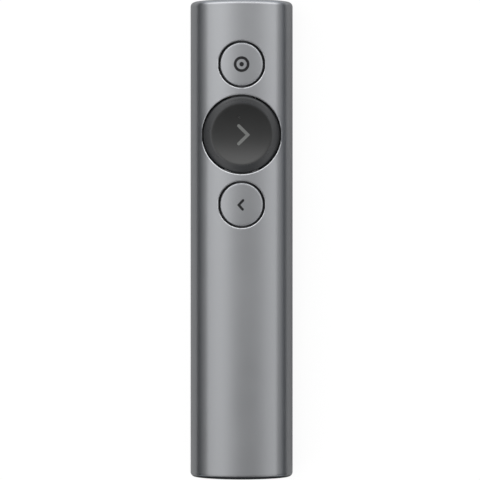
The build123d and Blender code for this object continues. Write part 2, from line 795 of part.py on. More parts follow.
light_pipe_top = dish_floor + dish_radius - sqrt(dish_radius**2 - led_offset**2) - light_pipe_fit
light_pipe_foot = board_top + led_height + travel + light_pipe_gap
with BuildPart() as led_light_pipe:
    with BuildSketch(Plane.XY.offset(light_pipe_foot)):
        with Locations((led_x, led_y)):
            Circle(light_pipe_radius)
    extrude(amount=light_pipe_top - light_pipe_foot)
export_piece(led_light_pipe, "led_light_pipe")

# ---------------------------------------------------------------- switch stems, carried by the caps
for name, place in button_places.items():
    with BuildPart() as stem:
        with BuildSketch(Plane.XY.offset(stem_bottom)):
            with Locations((0, place)):
                Circle(stem_radius)
        extrude(amount=stem_top - stem_bottom)
        chamfer(stem.faces().sort_by(Axis.Z)[0].edges(), stem_break)
    export_piece(stem, f"{name}_stem")

# ---------------------------------------------------------------- receiver
with BuildPart() as receiver_shell:
    with BuildSketch(Plane.XZ.offset(-plug_end)):
        with Locations((receiver_x, receiver_z)):
            RectangleRounded(usb_a_width, usb_a_height, usb_a_corner)
            RectangleRounded(shell_inner_width, shell_inner_height, usb_a_corner - usb_a_wall, mode=Mode.SUBTRACT)
    extrude(amount=usb_a_length)
    with BuildSketch(Plane.XY.offset(receiver_z)):
        with Locations((receiver_x, plug_end - usb_a_window_setback)):
            with GridLocations(usb_a_window_pitch, 1, 2, 1):
                Rectangle(usb_a_window, usb_a_window)
    extrude(amount=usb_a_height, both=True, mode=Mode.SUBTRACT)
export_piece(receiver_shell, "receiver_shell")

with BuildPart() as receiver_cap:
    add(housing_core(wall + fit_gap, plate_outer, plate_inner, bowed_low=True))
    chamfer(receiver_cap.faces().sort_by(Axis.Y)[0].edges(), end_piece_break)
    with BuildSketch(Plane.XZ.offset(-plate_inner)):
        with Locations((receiver_x, receiver_z)):
            Rectangle(shell_inner_width - 2 * neck_fit, shell_inner_height - 2 * neck_fit)
    extrude(amount=-neck_length)
    # Nail groove across the foot of the plate
    with BuildSketch(Plane.XZ.offset(-plate_outer)):
        with Locations((0, wall + fit_gap + grip_slot_rise)):
            SlotOverall(grip_slot_length, grip_slot_width)
    extrude(amount=-grip_slot_depth, mode=Mode.SUBTRACT)
export_piece(receiver_cap, "receiver_cap")

tongue_back = plate_inner + neck_length
tongue_front = plug_end - tongue_setback
tongue_bottom = receiver_z - shell_inner_height / 2
tongue_top = tongue_bottom + tongue_thickness
tongue_half = shell_inner_width / 2 - 2 * neck_fit
with BuildPart() as receiver_tongue:
    add(block((receiver_x - tongue_half, receiver_x + tongue_half), (tongue_back, tongue_front),
              (tongue_bottom, tongue_top)))
    chamfer(receiver_tongue.faces().sort_by(Axis.Y)[-1].edges().filter_by(Axis.X), usb_a_wall)
    chamfer(receiver_tongue.faces().sort_by(Axis.Z)[0].edges().filter_by(Axis.Y), usb_a_wall)
export_piece(receiver_tongue, "receiver_tongue")

contact_high = tongue_front - contact_setback
with BuildPart() as receiver_contacts:
    with BuildSketch(Plane.XY.offset(tongue_top)):
        with Locations((receiver_x, contact_high - contact_length / 2)):
            with GridLocations(contact_pitch, 1, 4, 1):
                Rectangle(contact_width, contact_length)
    extrude(amount=contact_thickness)
export_piece(receiver_contacts, "receiver_contacts")

receiver_board_low = tongue_back + receiver_board_gap
receiver_board_high = contact_high - contact_length - receiver_board_gap
receiver_board_y = (receiver_board_low + receiver_board_high) / 2
with BuildPart() as receiver_board:
    with BuildSketch(Plane.XY.offset(tongue_top)):
        with Locations((receiver_x, receiver_board_y)):
            Rectangle(receiver_board_width, receiver_board_high - receiver_board_low)
    extrude(amount=receiver_board_thickness)
    with BuildSketch(Plane.XY.offset(tongue_top + receiver_board_thickness)):
        with Locations((receiver_x, receiver_board_y)):
            Rectangle(receiver_chip, receiver_chip)
    extrude(amount=receiver_chip_height)
export_piece(receiver_board, "receiver_board")

# ---------------------------------------------------------------- leaf spring over the receiver's bay
clip_top = bay_lid + clip_sheet / 2
clip_low = receiver_z + usb_a_height / 2 + clip_gap + clip_sheet / 2
with BuildPart() as receiver_clip:
    with BuildSketch(Plane.YZ.offset(receiver_x - clip_width / 2)):
        with BuildLine():
            FilletPolyline(
                (clip_high + clip_seat, clip_top), (clip_high - clip_length / 8, clip_top),
                (clip_high - 5 * clip_length / 8, clip_low),
                (clip_high - 7 * clip_length / 8, clip_low + bay_roof), radius=3 * clip_sheet,
            )
        trace(line_width=clip_sheet)
    extrude(amount=clip_width)
export_piece(receiver_clip, "receiver_clip")
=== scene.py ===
"""Dresses the presentation clicker: smooth skin, buttons and symbols, inner details, finishes, light and camera."""
import json
import logging
import math
from dataclasses import dataclass, field
from enum import Enum
from typing import Callable, Sequence, Union

import bmesh
import bpy
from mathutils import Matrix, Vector
from mathutils.geometry import delaunay_2d_cdt


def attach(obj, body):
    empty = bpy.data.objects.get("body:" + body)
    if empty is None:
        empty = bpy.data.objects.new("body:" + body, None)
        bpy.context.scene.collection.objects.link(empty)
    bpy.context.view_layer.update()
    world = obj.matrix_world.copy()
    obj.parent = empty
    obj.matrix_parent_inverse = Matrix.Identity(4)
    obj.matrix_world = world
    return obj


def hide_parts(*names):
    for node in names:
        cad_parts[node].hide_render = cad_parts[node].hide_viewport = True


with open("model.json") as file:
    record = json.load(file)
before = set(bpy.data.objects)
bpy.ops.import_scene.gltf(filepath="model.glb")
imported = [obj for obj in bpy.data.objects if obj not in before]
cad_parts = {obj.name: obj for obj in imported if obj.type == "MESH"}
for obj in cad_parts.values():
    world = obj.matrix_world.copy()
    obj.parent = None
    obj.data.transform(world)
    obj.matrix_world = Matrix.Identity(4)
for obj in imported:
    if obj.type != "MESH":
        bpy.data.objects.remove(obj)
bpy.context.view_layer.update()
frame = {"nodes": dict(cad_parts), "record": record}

logging.basicConfig(level=logging.INFO, format="%(message)s")
log = logging.getLogger("clicker")

MM = 0.001
Number = Union[int, float]
Point2 = tuple[float, float]
Point3 = tuple[float, float, float]
Colour = tuple[float, float, float]
Loop = list[int]

POINTER_Y, NEXT_Y, BACK_Y = 47.8, 28.65, 9.5  # the buttons' centres along the tube, in millimetres
BOARD_TOP = 5.1  # height of the main board's upper face, in millimetres
SHARP = math.radians(35.0)  # an edge that turns by more than this stays sharp
QUARTER_TURN = ((0.0, -1.0, 0.0, 0.0), (1.0, 0.0, 0.0, 0.0), (0.0, 0.0, 1.0, 0.0), (0.0, 0.0, 0.0, 1.0))


# ---------------------------------------------------------------- node trees as expressions
class Wire:
    """A node socket that takes part in Python arithmetic.

    Args:
        graph: The graph that the socket belongs to.
        socket: The output socket that carries the value.
    """

    def __init__(self, graph: "Graph", socket: bpy.types.NodeSocket) -> None:
        """Keeps the graph and the socket."""
        self.graph = graph
        self.socket = socket

    def math(self, operation: str, *others: "Operand", last: bool = False) -> "Wire":
        """Adds one Math node.

        Args:
            operation: Blender's name of the operation.
            others: Its operands besides this value, in order.
            last: True where this value comes after the others.

        Returns:
            The wire of the result.
        """
        inputs = (*others, self) if last else (self, *others)
        return self.graph.node("ShaderNodeMath", {"operation": operation}, dict(enumerate(inputs)))

    def __add__(self, other: "Operand") -> "Wire":
        """Sum."""
        return self.math("ADD", other)

    def __radd__(self, other: "Operand") -> "Wire":
        """Reflected sum."""
        return self.math("ADD", other, last=True)

    def __sub__(self, other: "Operand") -> "Wire":
        """Difference."""
        return self.math("SUBTRACT", other)

    def __rsub__(self, other: "Operand") -> "Wire":
        """Reflected difference."""
        return self.math("SUBTRACT", other, last=True)

    def __mul__(self, other: "Operand") -> "Wire":
        """Product."""
        return self.math("MULTIPLY", other)

    def __rmul__(self, other: "Operand") -> "Wire":
        """Reflected product."""
        return self.math("MULTIPLY", other, last=True)

    def __truediv__(self, other: "Operand") -> "Wire":
        """Quotient."""
        return self.math("DIVIDE", other)

    def __rtruediv__(self, other: "Operand") -> "Wire":
        """Reflected quotient."""
        return self.math("DIVIDE", other, last=True)

    def root(self) -> "Wire":
        """Square root."""
        return self.math("SQRT")

    def size(self) -> "Wire":
        """Absolute value."""
        return self.math("ABSOLUTE")

    def most(self, other: "Operand") -> "Wire":
        """Larger of two values."""
        return self.math("MAXIMUM", other)

    def ramp(self, low: Number, high: Number) -> "Wire":
        """Smooth rise from 0 at low to 1 at high.

        Args:
            low: Where the rise starts.
            high: Where it ends, which may be below low for a fall.

        Returns:
            The wire of the share, from 0 to 1.
        """
        settings = {"interpolation_type": "SMOOTHSTEP"}
        return self.graph.node("ShaderNodeMapRange", settings, {"Value": self, "From Min": low, "From Max": high})


Operand = Union[Wire, int, float]


class Graph:
    """A node tree that nodes are added to.

    Args:
        tree: Blender's node tree.
    """

    def __init__(self, tree: bpy.types.NodeTree) -> None:
        """Keeps the tree."""
        self.tree = tree

    def node(
        self,
        kind: str,
        settings: dict[str, object] | None = None,
        values: dict[object, object] | None = None,
        output: Union[str, int] = 0,
    ) -> Wire:
        """Adds a node, sets it up and connects it.

        Args:
            kind: Blender's type name of the node.
            settings: Attributes, which are set first.
            values: Values or wires by socket name or number.
            output: The output socket that is returned.

        Returns:
            The wire of that output, or of the first input where the node has no outputs.
        """
        node = self.tree.nodes.new(kind)
        for name, value in (settings or {}).items():
            setattr(node, name, value)
        for name, value in (values or {}).items():
            if isinstance(value, Wire):
                self.tree.links.new(value.socket, node.inputs[name])
            else:
                node.inputs[name].default_value = value
        return Wire(self, node.outputs[output] if node.outputs else node.inputs[0])

    def parts(self, vector: Wire) -> tuple[Wire, Wire, Wire]:
        """The three parts of a vector."""
        node = self.node("ShaderNodeSeparateXYZ", values={0: vector}).socket.node
        return Wire(self, node.outputs[0]), Wire(self, node.outputs[1]), Wire(self, node.outputs[2])

    def blend(self, share: Operand, low: Union[Colour, Wire], high: Union[Colour, Wire]) -> Wire:
        """Colour between two colours.

        Args:
            share: 0 for the first colour and 1 for the second.
            low: The first colour.
            high: The second colour.

        Returns:
            The wire of the mixed colour.
        """
        pair = [colour if isinstance(colour, Wire) else (*colour, 1.0) for colour in (low, high)]
        return self.node("ShaderNodeMix", {"data_type": "RGBA"}, {0: share, 6: pair[0], 7: pair[1]}, 2)


# ---------------------------------------------------------------- finishes
class Palette(Graph):
    """Shader building blocks for one material, on the piece's own Object coordinates in millimetres.

    Args:
        name: The material's name.
    """

    def __init__(self, name: str) -> None:
        """Makes the material with its Principled shader and a coordinate in millimetres."""
        self.material = bpy.data.materials.new(name)
        self.material.use_nodes = True
        super().__init__(self.material.node_tree)
        self.shader = self.tree.nodes["Principled BSDF"]
        coordinate = self.node("ShaderNodeTexCoord", output="Object")
        self.place = self.node("ShaderNodeVectorMath", {"operation": "SCALE"}, {0: coordinate, "Scale": 1 / MM})

    def noise(self, scale: Number, detail: Number = 2.0, stretch: Point3 = (1.0, 1.0, 1.0)) -> Wire:
        """Smooth noise of about 0.5 on average.

        Args:
            scale: Features per millimetre.
            detail: Octaves.
            stretch: Multiplies the coordinate, so a small part draws the pattern out along that axis.

        Returns:
            The wire of the noise.
        """
        place = self.node("ShaderNodeVectorMath", {"operation": "MULTIPLY"}, {0: self.place, 1: stretch})
        return self.node("ShaderNodeTexNoise", values={"Vector": place, "Scale": scale, "Detail": detail})

    def distance(self, centre: Point2) -> Wire:
        """Distance in plan from a point.

        Args:
            centre: The point, in millimetres.

        Returns:
            The wire of the distance, in millimetres.
        """
        across, along, _ = self.parts(self.place)
        aside, ahead = across - centre[0], along - centre[1]
        return (aside * aside + ahead * ahead).root()

    def relief(self, height: Wire, depth: Number, strength: Number = 1.0, under: Wire | None = None) -> Wire:
        """Bump from a height.

        Args:
            height: The height, from 0 to 1.
            depth: How far that is, in millimetres.
            strength: The bump's strength.
            under: The normal of a bump below this one.

        Returns:
            The wire of the normal.
        """
        values = {"Strength": strength, "Distance": depth * MM, "Height": height}
        if under is not None:
            values["Normal"] = under
        return self.node("ShaderNodeBump", values=values)

    def finish(self, **sockets: object) -> bpy.types.Material:
        """Sets or links the shader's sockets, named with underscores for spaces.

        Args:
            sockets: Values or wires by socket name.

        Returns:
            The finished material.
        """
        for name, value in sockets.items():
            target = self.shader.inputs[name.replace("_", " ")]
            if isinstance(value, Wire):
                self.tree.links.new(value.socket, target)
            else:
                target.default_value = value
        return self.material


def shade(colour: Colour, factor: Number) -> Colour:
    """A colour made lighter or darker by a factor."""
    return colour[0] * factor, colour[1] * factor, colour[2] * factor


@dataclass(frozen=True)
class Finish:
    """What every finish has.

    Args:
        name: The material's name, which is the record's slot where there is one.
        colour: Its main colour.
    """

    name: str
    colour: Colour


@dataclass(frozen=True)
class BlastedMetal(Finish):
    """Bead-blasted anodised aluminium, brighter where edges are cut or rubbed, with painted shade at the tail's
    edge and below a given height.

    Args:
        gloss: The roughness.
        cut_rims: Centre along Y and radius of each round rim that is cut bright, in millimetres.
        end: Distance from the middle to the rubbed ends, in millimetres, or 0 where there are none.
        painted_shade_below: Height below which a painted shade makes the metal near-black and not metallic,
            darkening the gap round a cap, in millimetres.
        painted_tail_shade: Place along Y beyond which the tail's rounded edge gets a painted shade, darkening
            towards the end, in millimetres, or 0 where there is none.
    """

    gloss: float
    cut_rims: tuple[tuple[float, float], ...] = ()
    end: float = 0.0
    painted_shade_below: float = -1.0
    painted_tail_shade: float = 0.0

    def make(self) -> bpy.types.Material:
        """Builds the material.

        Returns:
            The material.
        """
        kit = Palette(self.name)
        _, along, up = kit.parts(kit.place)
        # Painted shade: below the given height the metal turns near-black, darkening what shows in the gap round a
        # cap.
        above_painted_shade = up.ramp(self.painted_shade_below - 0.15, self.painted_shade_below + 0.15)
        grain, clouds = kit.noise(9.0, 3.0), kit.noise(0.12, 2.0)
        rubbed = kit.noise(1.4, 3.0).ramp(0.30, 0.62)
        wear = along.size().ramp(self.end - 0.7, self.end - 0.1) * 0.6 if self.end else along * 0.0
        face_side = up.ramp(5.0, 7.0)  # the openings are in the face, so nothing is cut in the back
        for centre, radius in self.cut_rims:
            wear = wear.most((kit.distance((0.0, centre)) - radius).size().ramp(0.22, 0.06) * face_side)
        wear = wear * rubbed
        body = kit.blend(grain * 0.6 + clouds * 0.4, shade(self.colour, 0.94), shade(self.colour, 1.06))
        colour = kit.blend(wear * 0.35, body, shade(self.colour, 1.9))
        # Painted shade: the tail's rounded edge is darkened over its last 0.4 mm.
        if self.painted_tail_shade:
            edge = along.ramp(self.painted_tail_shade, self.painted_tail_shade - 0.4)
            colour = kit.blend(edge, colour, shade(self.colour, 0.2))
        # Painted shade below the given height.
        colour = kit.blend(above_painted_shade, (0.006, 0.006, 0.007), colour)
        roughness = self.gloss + (grain - 0.5) * 0.06 + (clouds - 0.5) * 0.04 - wear * 0.05 + (1.0 - above_painted_shade) * 0.3
        return kit.finish(
            Base_Color=colour, Metallic=above_painted_shade, Roughness=roughness, Normal=kit.relief(grain, 0.004, 0.35)
        )


@dataclass(frozen=True)
class SoftTouch(Finish):
    """Black rubbery coating, slightly polished on the rim where a thumb slides over it, with a painted sheen there:
    a lighter, bluish colour on the rim.

    Args:
        painted_sheen: Its lighter, bluish colour on the rim, a painted sheen.
        centre: The button's centre along Y, in millimetres.
        rim: Radius where the polished rim with its painted sheen starts, in millimetres.
    """

    painted_sheen: Colour
    centre: float
    rim: float

    def make(self) -> bpy.types.Material:
        """Builds the material.

        Returns:
            The material.
        """
        kit = Palette(self.name)
        grain, smudges = kit.noise(14.0, 2.0), kit.noise(0.35, 3.0)
        rim = kit.distance((0.0, self.centre)).ramp(self.rim - 0.12, self.rim + 0.12)
        # Painted sheen: the rim gets a lighter, bluish colour than the dish; only its slightly lower roughness is
        # real polish.
        colour = kit.blend(rim, self.colour, self.painted_sheen)
        colour = kit.blend(smudges * 0.2, colour, shade(self.colour, 1.5))
        roughness = 0.30 - rim * 0.02 + (smudges - 0.5) * 0.05
        return kit.finish(
            Base_Color=colour, Roughness=roughness, Specular_IOR_Level=0.6, Normal=kit.relief(grain, 0.003, 0.2)
        )


@dataclass(frozen=True)
class Moulding(Finish):
    """Moulded plastic or rubber with a fine spark-eroded grain and faint flow marks.

    Args:
        gloss: The roughness.
        grain: Grain features per millimetre.
        depth: Depth of the grain in millimetres.
    """

    gloss: float = 0.5
    grain: float = 5.0
    depth: float = 0.006

    def make(self) -> bpy.types.Material:
        """Builds the material.

        Returns:
            The material.
        """
        kit = Palette(self.name)
        grain, flow = kit.noise(self.grain, 2.0), kit.noise(0.25, 2.0, (1.0, 0.2, 1.0))
        colour = kit.blend(flow * 0.5 + grain * 0.5, shade(self.colour, 0.82), shade(self.colour, 1.18))
        roughness = self.gloss + (grain - 0.5) * 0.12 + (flow - 0.5) * 0.06
        return kit.finish(Base_Color=colour, Roughness=roughness, Normal=kit.relief(grain, self.depth, 0.5))


@dataclass(frozen=True)
class Sheet(Finish):
    """Rolled or drawn metal with fine lines along Y, a few stains and a little scatter in its gloss.

    Args:
        gloss: The roughness.
        lines: Lines per millimetre.
    """

    gloss: float = 0.3
    lines: float = 6.0

    def make(self) -> bpy.types.Material:
        """Builds the material.

        Returns:
            The material.
        """
        kit = Palette(self.name)
        streaks, stains = kit.noise(self.lines, 2.0, (1.0, 0.06, 1.0)), kit.noise(0.5, 3.0)
        colour = kit.blend(streaks * 0.5 + stains * 0.5, shade(self.colour, 0.84), shade(self.colour, 1.1))
        roughness = self.gloss + (streaks - 0.5) * 0.16 + (stains - 0.5) * 0.08
        return kit.finish(
            Base_Color=colour, Metallic=1.0, Roughness=roughness, Normal=kit.relief(streaks, 0.003, 0.3)
        )


@dataclass(frozen=True)
class SolderMask(Finish):
    """Circuit board: tinted mask over copper tracks that run in steps.

    Args:
        pitch: Distance between tracks in millimetres.
    """

    pitch: float = 1.3

    def make(self) -> bpy.types.Material:
        """Builds the material.

        Returns:
            The material.
        """
        kit = Palette(self.name)
        across, along, _ = kit.parts(kit.place)
        bend = (kit.noise(0.09, 0.0) * 14.0).math("FLOOR") * 0.65
        track = ((across + bend) / self.pitch).math("FRACT").ramp(0.30, 0.36)
        gap = ((along - bend * 3.0) / (self.pitch * 7.0)).math("FRACT").ramp(0.08, 0.10)
        weave = kit.noise(7.0, 1.0)
        mask = kit.blend(track * gap, self.colour, shade(self.colour, 1.75))
        colour = kit.blend(weave * 0.2, mask, shade(self.colour, 0.5))
        fine = kit.relief(weave, 0.004, 0.3)
        return kit.finish(
            Base_Color=colour, Roughness=0.34 + (weave - 0.5) * 0.1, Coat_Weight=0.3, Coat_Roughness=0.12,
            Normal=kit.relief(track * gap, 0.035, 0.6, fine),
        )


@dataclass(frozen=True)
class Foil(Finish):
    """Laminate foil of a pouch cell, crimped along its tail end and held by a band of amber tape.

    Args:
        crimp: Place along Y below which the foil is crimped, in millimetres.
        tape: Place along Y of the tape's middle and half its width, in millimetres.
    """

    crimp: float = -40.6
    tape: Point2 = (-19.6, 1.5)

    def make(self) -> bpy.types.Material:
        """Builds the material.

        Returns:
            The material.
        """
        kit = Palette(self.name)
        _, along, _ = kit.parts(kit.place)
        pits, waves = kit.noise(2.2, 3.0), kit.noise(0.3, 3.0, (1.0, 0.35, 1.0))
        crimp = (along * 1.6).math("FRACT").ramp(0.0, 0.5) * along.ramp(self.crimp + 0.1, self.crimp - 0.1)
        height = waves * 0.7 + pits * 0.1 + crimp * 0.3
        tape = (along - self.tape[0]).size().ramp(self.tape[1] + 0.05, self.tape[1] - 0.05)
        colour = kit.blend(height, shade(self.colour, 0.8), self.colour)
        colour = kit.blend(tape, colour, (0.42, 0.24, 0.03))
        return kit.finish(
            Base_Color=colour, Metallic=1.0 - tape * 0.9, Roughness=0.34 + (pits - 0.5) * 0.16,
            Normal=kit.relief(height, 0.12, 0.4),
        )


@dataclass(frozen=True)
class Sleeves(Finish):
    """Insulation of pairs of wires, of the main colour left of each pair's middle and of a second right of it.

    Args:
        second: Colour of the sleeve on the right.
        middles: Places across X of the line between the sleeves of each pair, in millimetres.
    """

    second: Colour
    middles: Point2

    def make(self) -> bpy.types.Material:
        """Builds the material.

        Returns:
            The material.
        """
        kit = Palette(self.name)
        across, _, _ = kit.parts(kit.place)
        scuffs = kit.noise(3.0, 3.0)
        right_pair = across.ramp(-0.1, 0.1)
        left_red = across.ramp(self.middles[0] - 0.05, self.middles[0] + 0.05) * (1.0 - right_pair)
        right_red = across.ramp(self.middles[1] - 0.05, self.middles[1] + 0.05)
        colour = kit.blend(left_red + right_red, self.colour, self.second)
        colour = kit.blend(scuffs * 0.25, colour, (0.25, 0.24, 0.22))
        return kit.finish(
            Base_Color=colour, Roughness=0.42 + (scuffs - 0.5) * 0.2, Normal=kit.relief(scuffs, 0.01, 0.3)
        )


@dataclass(frozen=True)
class Lens(Finish):
    """Smoked clear plastic that passes the light of an indicator."""

    def make(self) -> bpy.types.Material:
        """Builds the material.

        Returns:
            The material.
        """
        kit = Palette(self.name)
        haze = kit.noise(6.0, 2.0)
        colour = kit.blend(haze, shade(self.colour, 0.7), self.colour)
        return kit.finish(
            Base_Color=colour, Roughness=0.2 + haze * 0.15, Transmission_Weight=0.3, IOR=1.49,
            Normal=kit.relief(haze, 0.004, 0.4),
        )


@dataclass(frozen=True)
class Print(Finish):
    """Matt ink of a symbol, thin enough to let the grain below show."""

    def make(self) -> bpy.types.Material:
        """Builds the material.

        Returns:
            The material.
        """
        kit = Palette(self.name)
        grain = kit.noise(10.0, 2.0)
        colour = kit.blend(grain, shade(self.colour, 0.85), shade(self.colour, 1.15))
        return kit.finish(
            Base_Color=colour, Roughness=0.55 + (grain - 0.5) * 0.2, Specular_IOR_Level=0.25,
            Normal=kit.relief(grain, 0.003, 0.3),
        )


# ---------------------------------------------------------------- the tube's cross-section
@dataclass(frozen=True)
class Section:
    """Cross-section of the housing tube, in millimetres, as a chain of arcs round from the crest.

    Args:
        width: Full width.
        height: Full height.
        belt: Height of the widest line.
        crown: Radius of the button face's arch.
    """

    width: float = 28.1
    height: float = 12.1
    belt: float = 4.75
    crown: float = 38.0

    @property
    def shoulder(self) -> float:
        """Radius of the arcs between the arch and the widest line."""
        drop, half = self.height - self.belt, self.width / 2
        return (self.crown**2 - half**2 - (self.crown - drop) ** 2) / (2 * self.crown - self.width)

    @property
    def shoulder_x(self) -> float:
        """Distance of those arcs' centres from the middle."""
        return self.width / 2 - self.shoulder

    @property
    def arch_angle(self) -> float:
        """Half the angle of the arch, in radians."""
        return math.asin(self.shoulder_x / (self.crown - self.shoulder))

    def chain(self, counts: tuple[int, int, int, int], inset: float = 0.0) -> list[Point2]:
        """Points clockwise from the crest towards +X and round, without a repeated last point.

        Args:
            counts: Steps on half the arch, a shoulder, a lower corner and half the flat back.
            inset: How far the chain lies inside the section.

        Returns:
            The points.
        """
        corner = self.width / 2 - self.belt
        right: list[Point2] = []
        spans = (
            ((0.0, self.height - self.crown), self.crown, 0.0, self.arch_angle, counts[0]),
            ((self.shoulder_x, self.belt), self.shoulder, self.arch_angle, math.pi / 2, counts[1]),
            ((corner, self.belt), self.belt, math.pi / 2, math.pi, counts[2]),
        )
        for centre, radius, start, stop, steps in spans:
            for step in range(steps):
                angle = start + (stop - start) * step / steps
                reach = radius - inset
                right.append((centre[0] + math.sin(angle) * reach, centre[1] + math.cos(angle) * reach))
        right += [(corner * (1 - step / counts[3]), inset) for step in range(counts[3] + 1)]
        return right + [(-x, z) for x, z in reversed(right[1:-1])]

    def face_height(self, across: float, inset: float = 0.0) -> float:
        """Height of the button face.

        Args:
            across: Distance from the middle.
            inset: How far the section is moved inwards.

        Returns:
            The height.
        """
        if abs(across) <= (self.crown - inset) * math.sin(self.arch_angle):
            return self.height - self.crown + math.sqrt((self.crown - inset) ** 2 - across**2)
        return self.belt + math.sqrt((self.shoulder - inset) ** 2 - (abs(across) - self.shoulder_x) ** 2)

    def girth(self, across: float, inset: float = 0.0) -> float:
        """Length along the section from the crest to a place on the face.

        Args:
            across: The place's distance from the middle.
            inset: How far the section is moved inwards.

        Returns:
            The length, negative on the left.
        """
        limit = (self.crown - inset) * math.sin(self.arch_angle)
        if abs(across) <= limit:
            length = (self.crown - inset) * math.asin(abs(across) / (self.crown - inset))
        else:
            angle = math.asin(min(1.0, (abs(across) - self.shoulder_x) / (self.shoulder - inset)))
            length = (self.crown - inset) * self.arch_angle + (self.shoulder - inset) * (angle - self.arch_angle)
        return math.copysign(length, across)


SECTION = Section()
Height = Callable[[float, float], float]


# ---------------------------------------------------------------- meshes
@dataclass
class Shell:
    """A mesh under construction, in millimetres.

    Args:
        name: Name of the finished piece.
        points: Its points.
        faces: Its faces, as point numbers.
        marks: Values of named point attributes, by point number.
    """

    name: str
    points: list[Point3] = field(default_factory=list)
    faces: list[Loop] = field(default_factory=list)
    marks: dict[str, dict[int, float]] = field(default_factory=dict)

    def ring(self, points: Sequence[Point3]) -> Loop:
        """Adds points.

        Args:
            points: The points.

        Returns:
            Their numbers.
        """
        first = len(self.points)
        self.points.extend(points)
        return list(range(first, first + len(points)))

    def circle(self, centre: Point2, radius: float, steps: int, height: Union[float, Height]) -> Loop:
        """Adds a circle in plan.

        Args:
            centre: The circle's centre.
            radius: Its radius.
            steps: Number of points.
            height: Its height, or a rule for the height at a place in plan.

        Returns:
            The points' numbers.
        """
        points = []
        for step in range(steps):
            angle = 2 * math.pi * step / steps
            x, y = centre[0] + radius * math.cos(angle), centre[1] + radius * math.sin(angle)
            points.append((x, y, height(x, y) if callable(height) else height))
        return self.ring(points)

    def bridge(self, lower: Loop, upper: Loop, closed: bool = True) -> None:
        """Joins two chains of the same length with four-sided faces.

        Args:
            lower: The first chain.
            upper: The second chain.
            closed: True for rings, False for open chains.
        """
        for index in range(len(lower) if closed else len(lower) - 1):
            after = (index + 1) % len(lower)
            self.faces.append([lower[index], lower[after], upper[after], upper[index]])

    def tower(self, rings: Sequence[Loop]) -> None:
        """Joins rings one after another."""
        for lower, upper in zip(rings, rings[1:]):
            self.bridge(lower, upper)

    def fan(self, ring: Loop, centre: Point3) -> None:
        """Closes a ring with triangles to a centre."""
        middle = self.ring([centre])[0]
        self.faces += [[corner, ring[(index + 1) % len(ring)], middle] for index, corner in enumerate(ring)]

    def prism(self, outline: Sequence[Point2], low: float, high: float) -> None:
        """Adds an upright block.

        Args:
            outline: Its outline in plan.
            low: Height of its underside.
            high: Height of its top.
        """
        rings = [self.ring([(x, y, z) for x, y in outline]) for z in (low, high)]
        self.bridge(*rings)
        self.faces += rings

    def fill(
        self, loops: Sequence[Loop], inner: Loop, flat: Callable[[Point3], Point2], keep: Callable[[Point3], bool]
    ) -> None:
        """Fills the space between closed loops with even triangles.

        Args:
            loops: The outline and the holes.
            inner: Further points inside.
            flat: Place of a point on the flat sheet that the triangles are laid out on.
            keep: Tells from a triangle's middle whether it stays.
        """
        listed = inner + [number for loop in loops for number in loop]
        order = {number: index for index, number in enumerate(listed)}
        edges = [(order[a], order[b]) for loop in loops for a, b in zip(loop, loop[1:] + loop[:1])]
        places = [Vector(flat(self.points[number])) for number in listed]
        result = delaunay_2d_cdt(places, edges, [], 0, 1e-7)
        back = [listed[source[0]] for source in result[3]]
        for triangle in result[2]:
            corners = [self.points[back[corner]] for corner in triangle]
            middle = tuple(sum(corner[axis] for corner in corners) / 3 for axis in range(3))
            if keep(middle):
                self.faces.append([back[corner] for corner in triangle])

    def build(self, material: bpy.types.Material | None = None, edge: float = 0.0) -> bpy.types.Object:
        """Turns the shell into an object in metres, closed, facing outwards and smooth but for its sharp edges.

        Args:
            material: The material.
            edge: Width of a small round along the sharp edges, in millimetres, or 0 for none.

        Returns:
            The linked object at the origin.
        """
        mesh = bpy.data.meshes.new(self.name)
        mesh.from_pydata([(x * MM, y * MM, z * MM) for x, y, z in self.points], [], self.faces)
        for label, values in self.marks.items():
            attribute = mesh.attributes.new(label, "FLOAT", "POINT")
            attribute.data.foreach_set("value", [values.get(number, 0.0) for number in range(len(self.points))])
        if material:
            mesh.materials.append(material)
        return finish_mesh(mesh, edge)


def link(name: str, data: bpy.types.ID) -> bpy.types.Object:
    """Makes an object and puts it into the scene.

    Args:
        name: Its name.
        data: Its mesh, lamp or camera.

    Returns:
        The object.
    """
    thing = bpy.data.objects.new(name, data)
    bpy.context.scene.collection.objects.link(thing)
    return thing


def applied(piece: bpy.types.Object, modifier: bpy.types.Modifier) -> bpy.types.Mesh:
    """Takes what a modifier makes of a piece, and removes the modifier.

    Args:
        piece: The piece.
        modifier: Its modifier.

    Returns:
        The mesh.
    """
    mesh = bpy.data.meshes.new_from_object(piece.evaluated_get(bpy.context.evaluated_depsgraph_get()))
    piece.modifiers.remove(modifier)
    return mesh


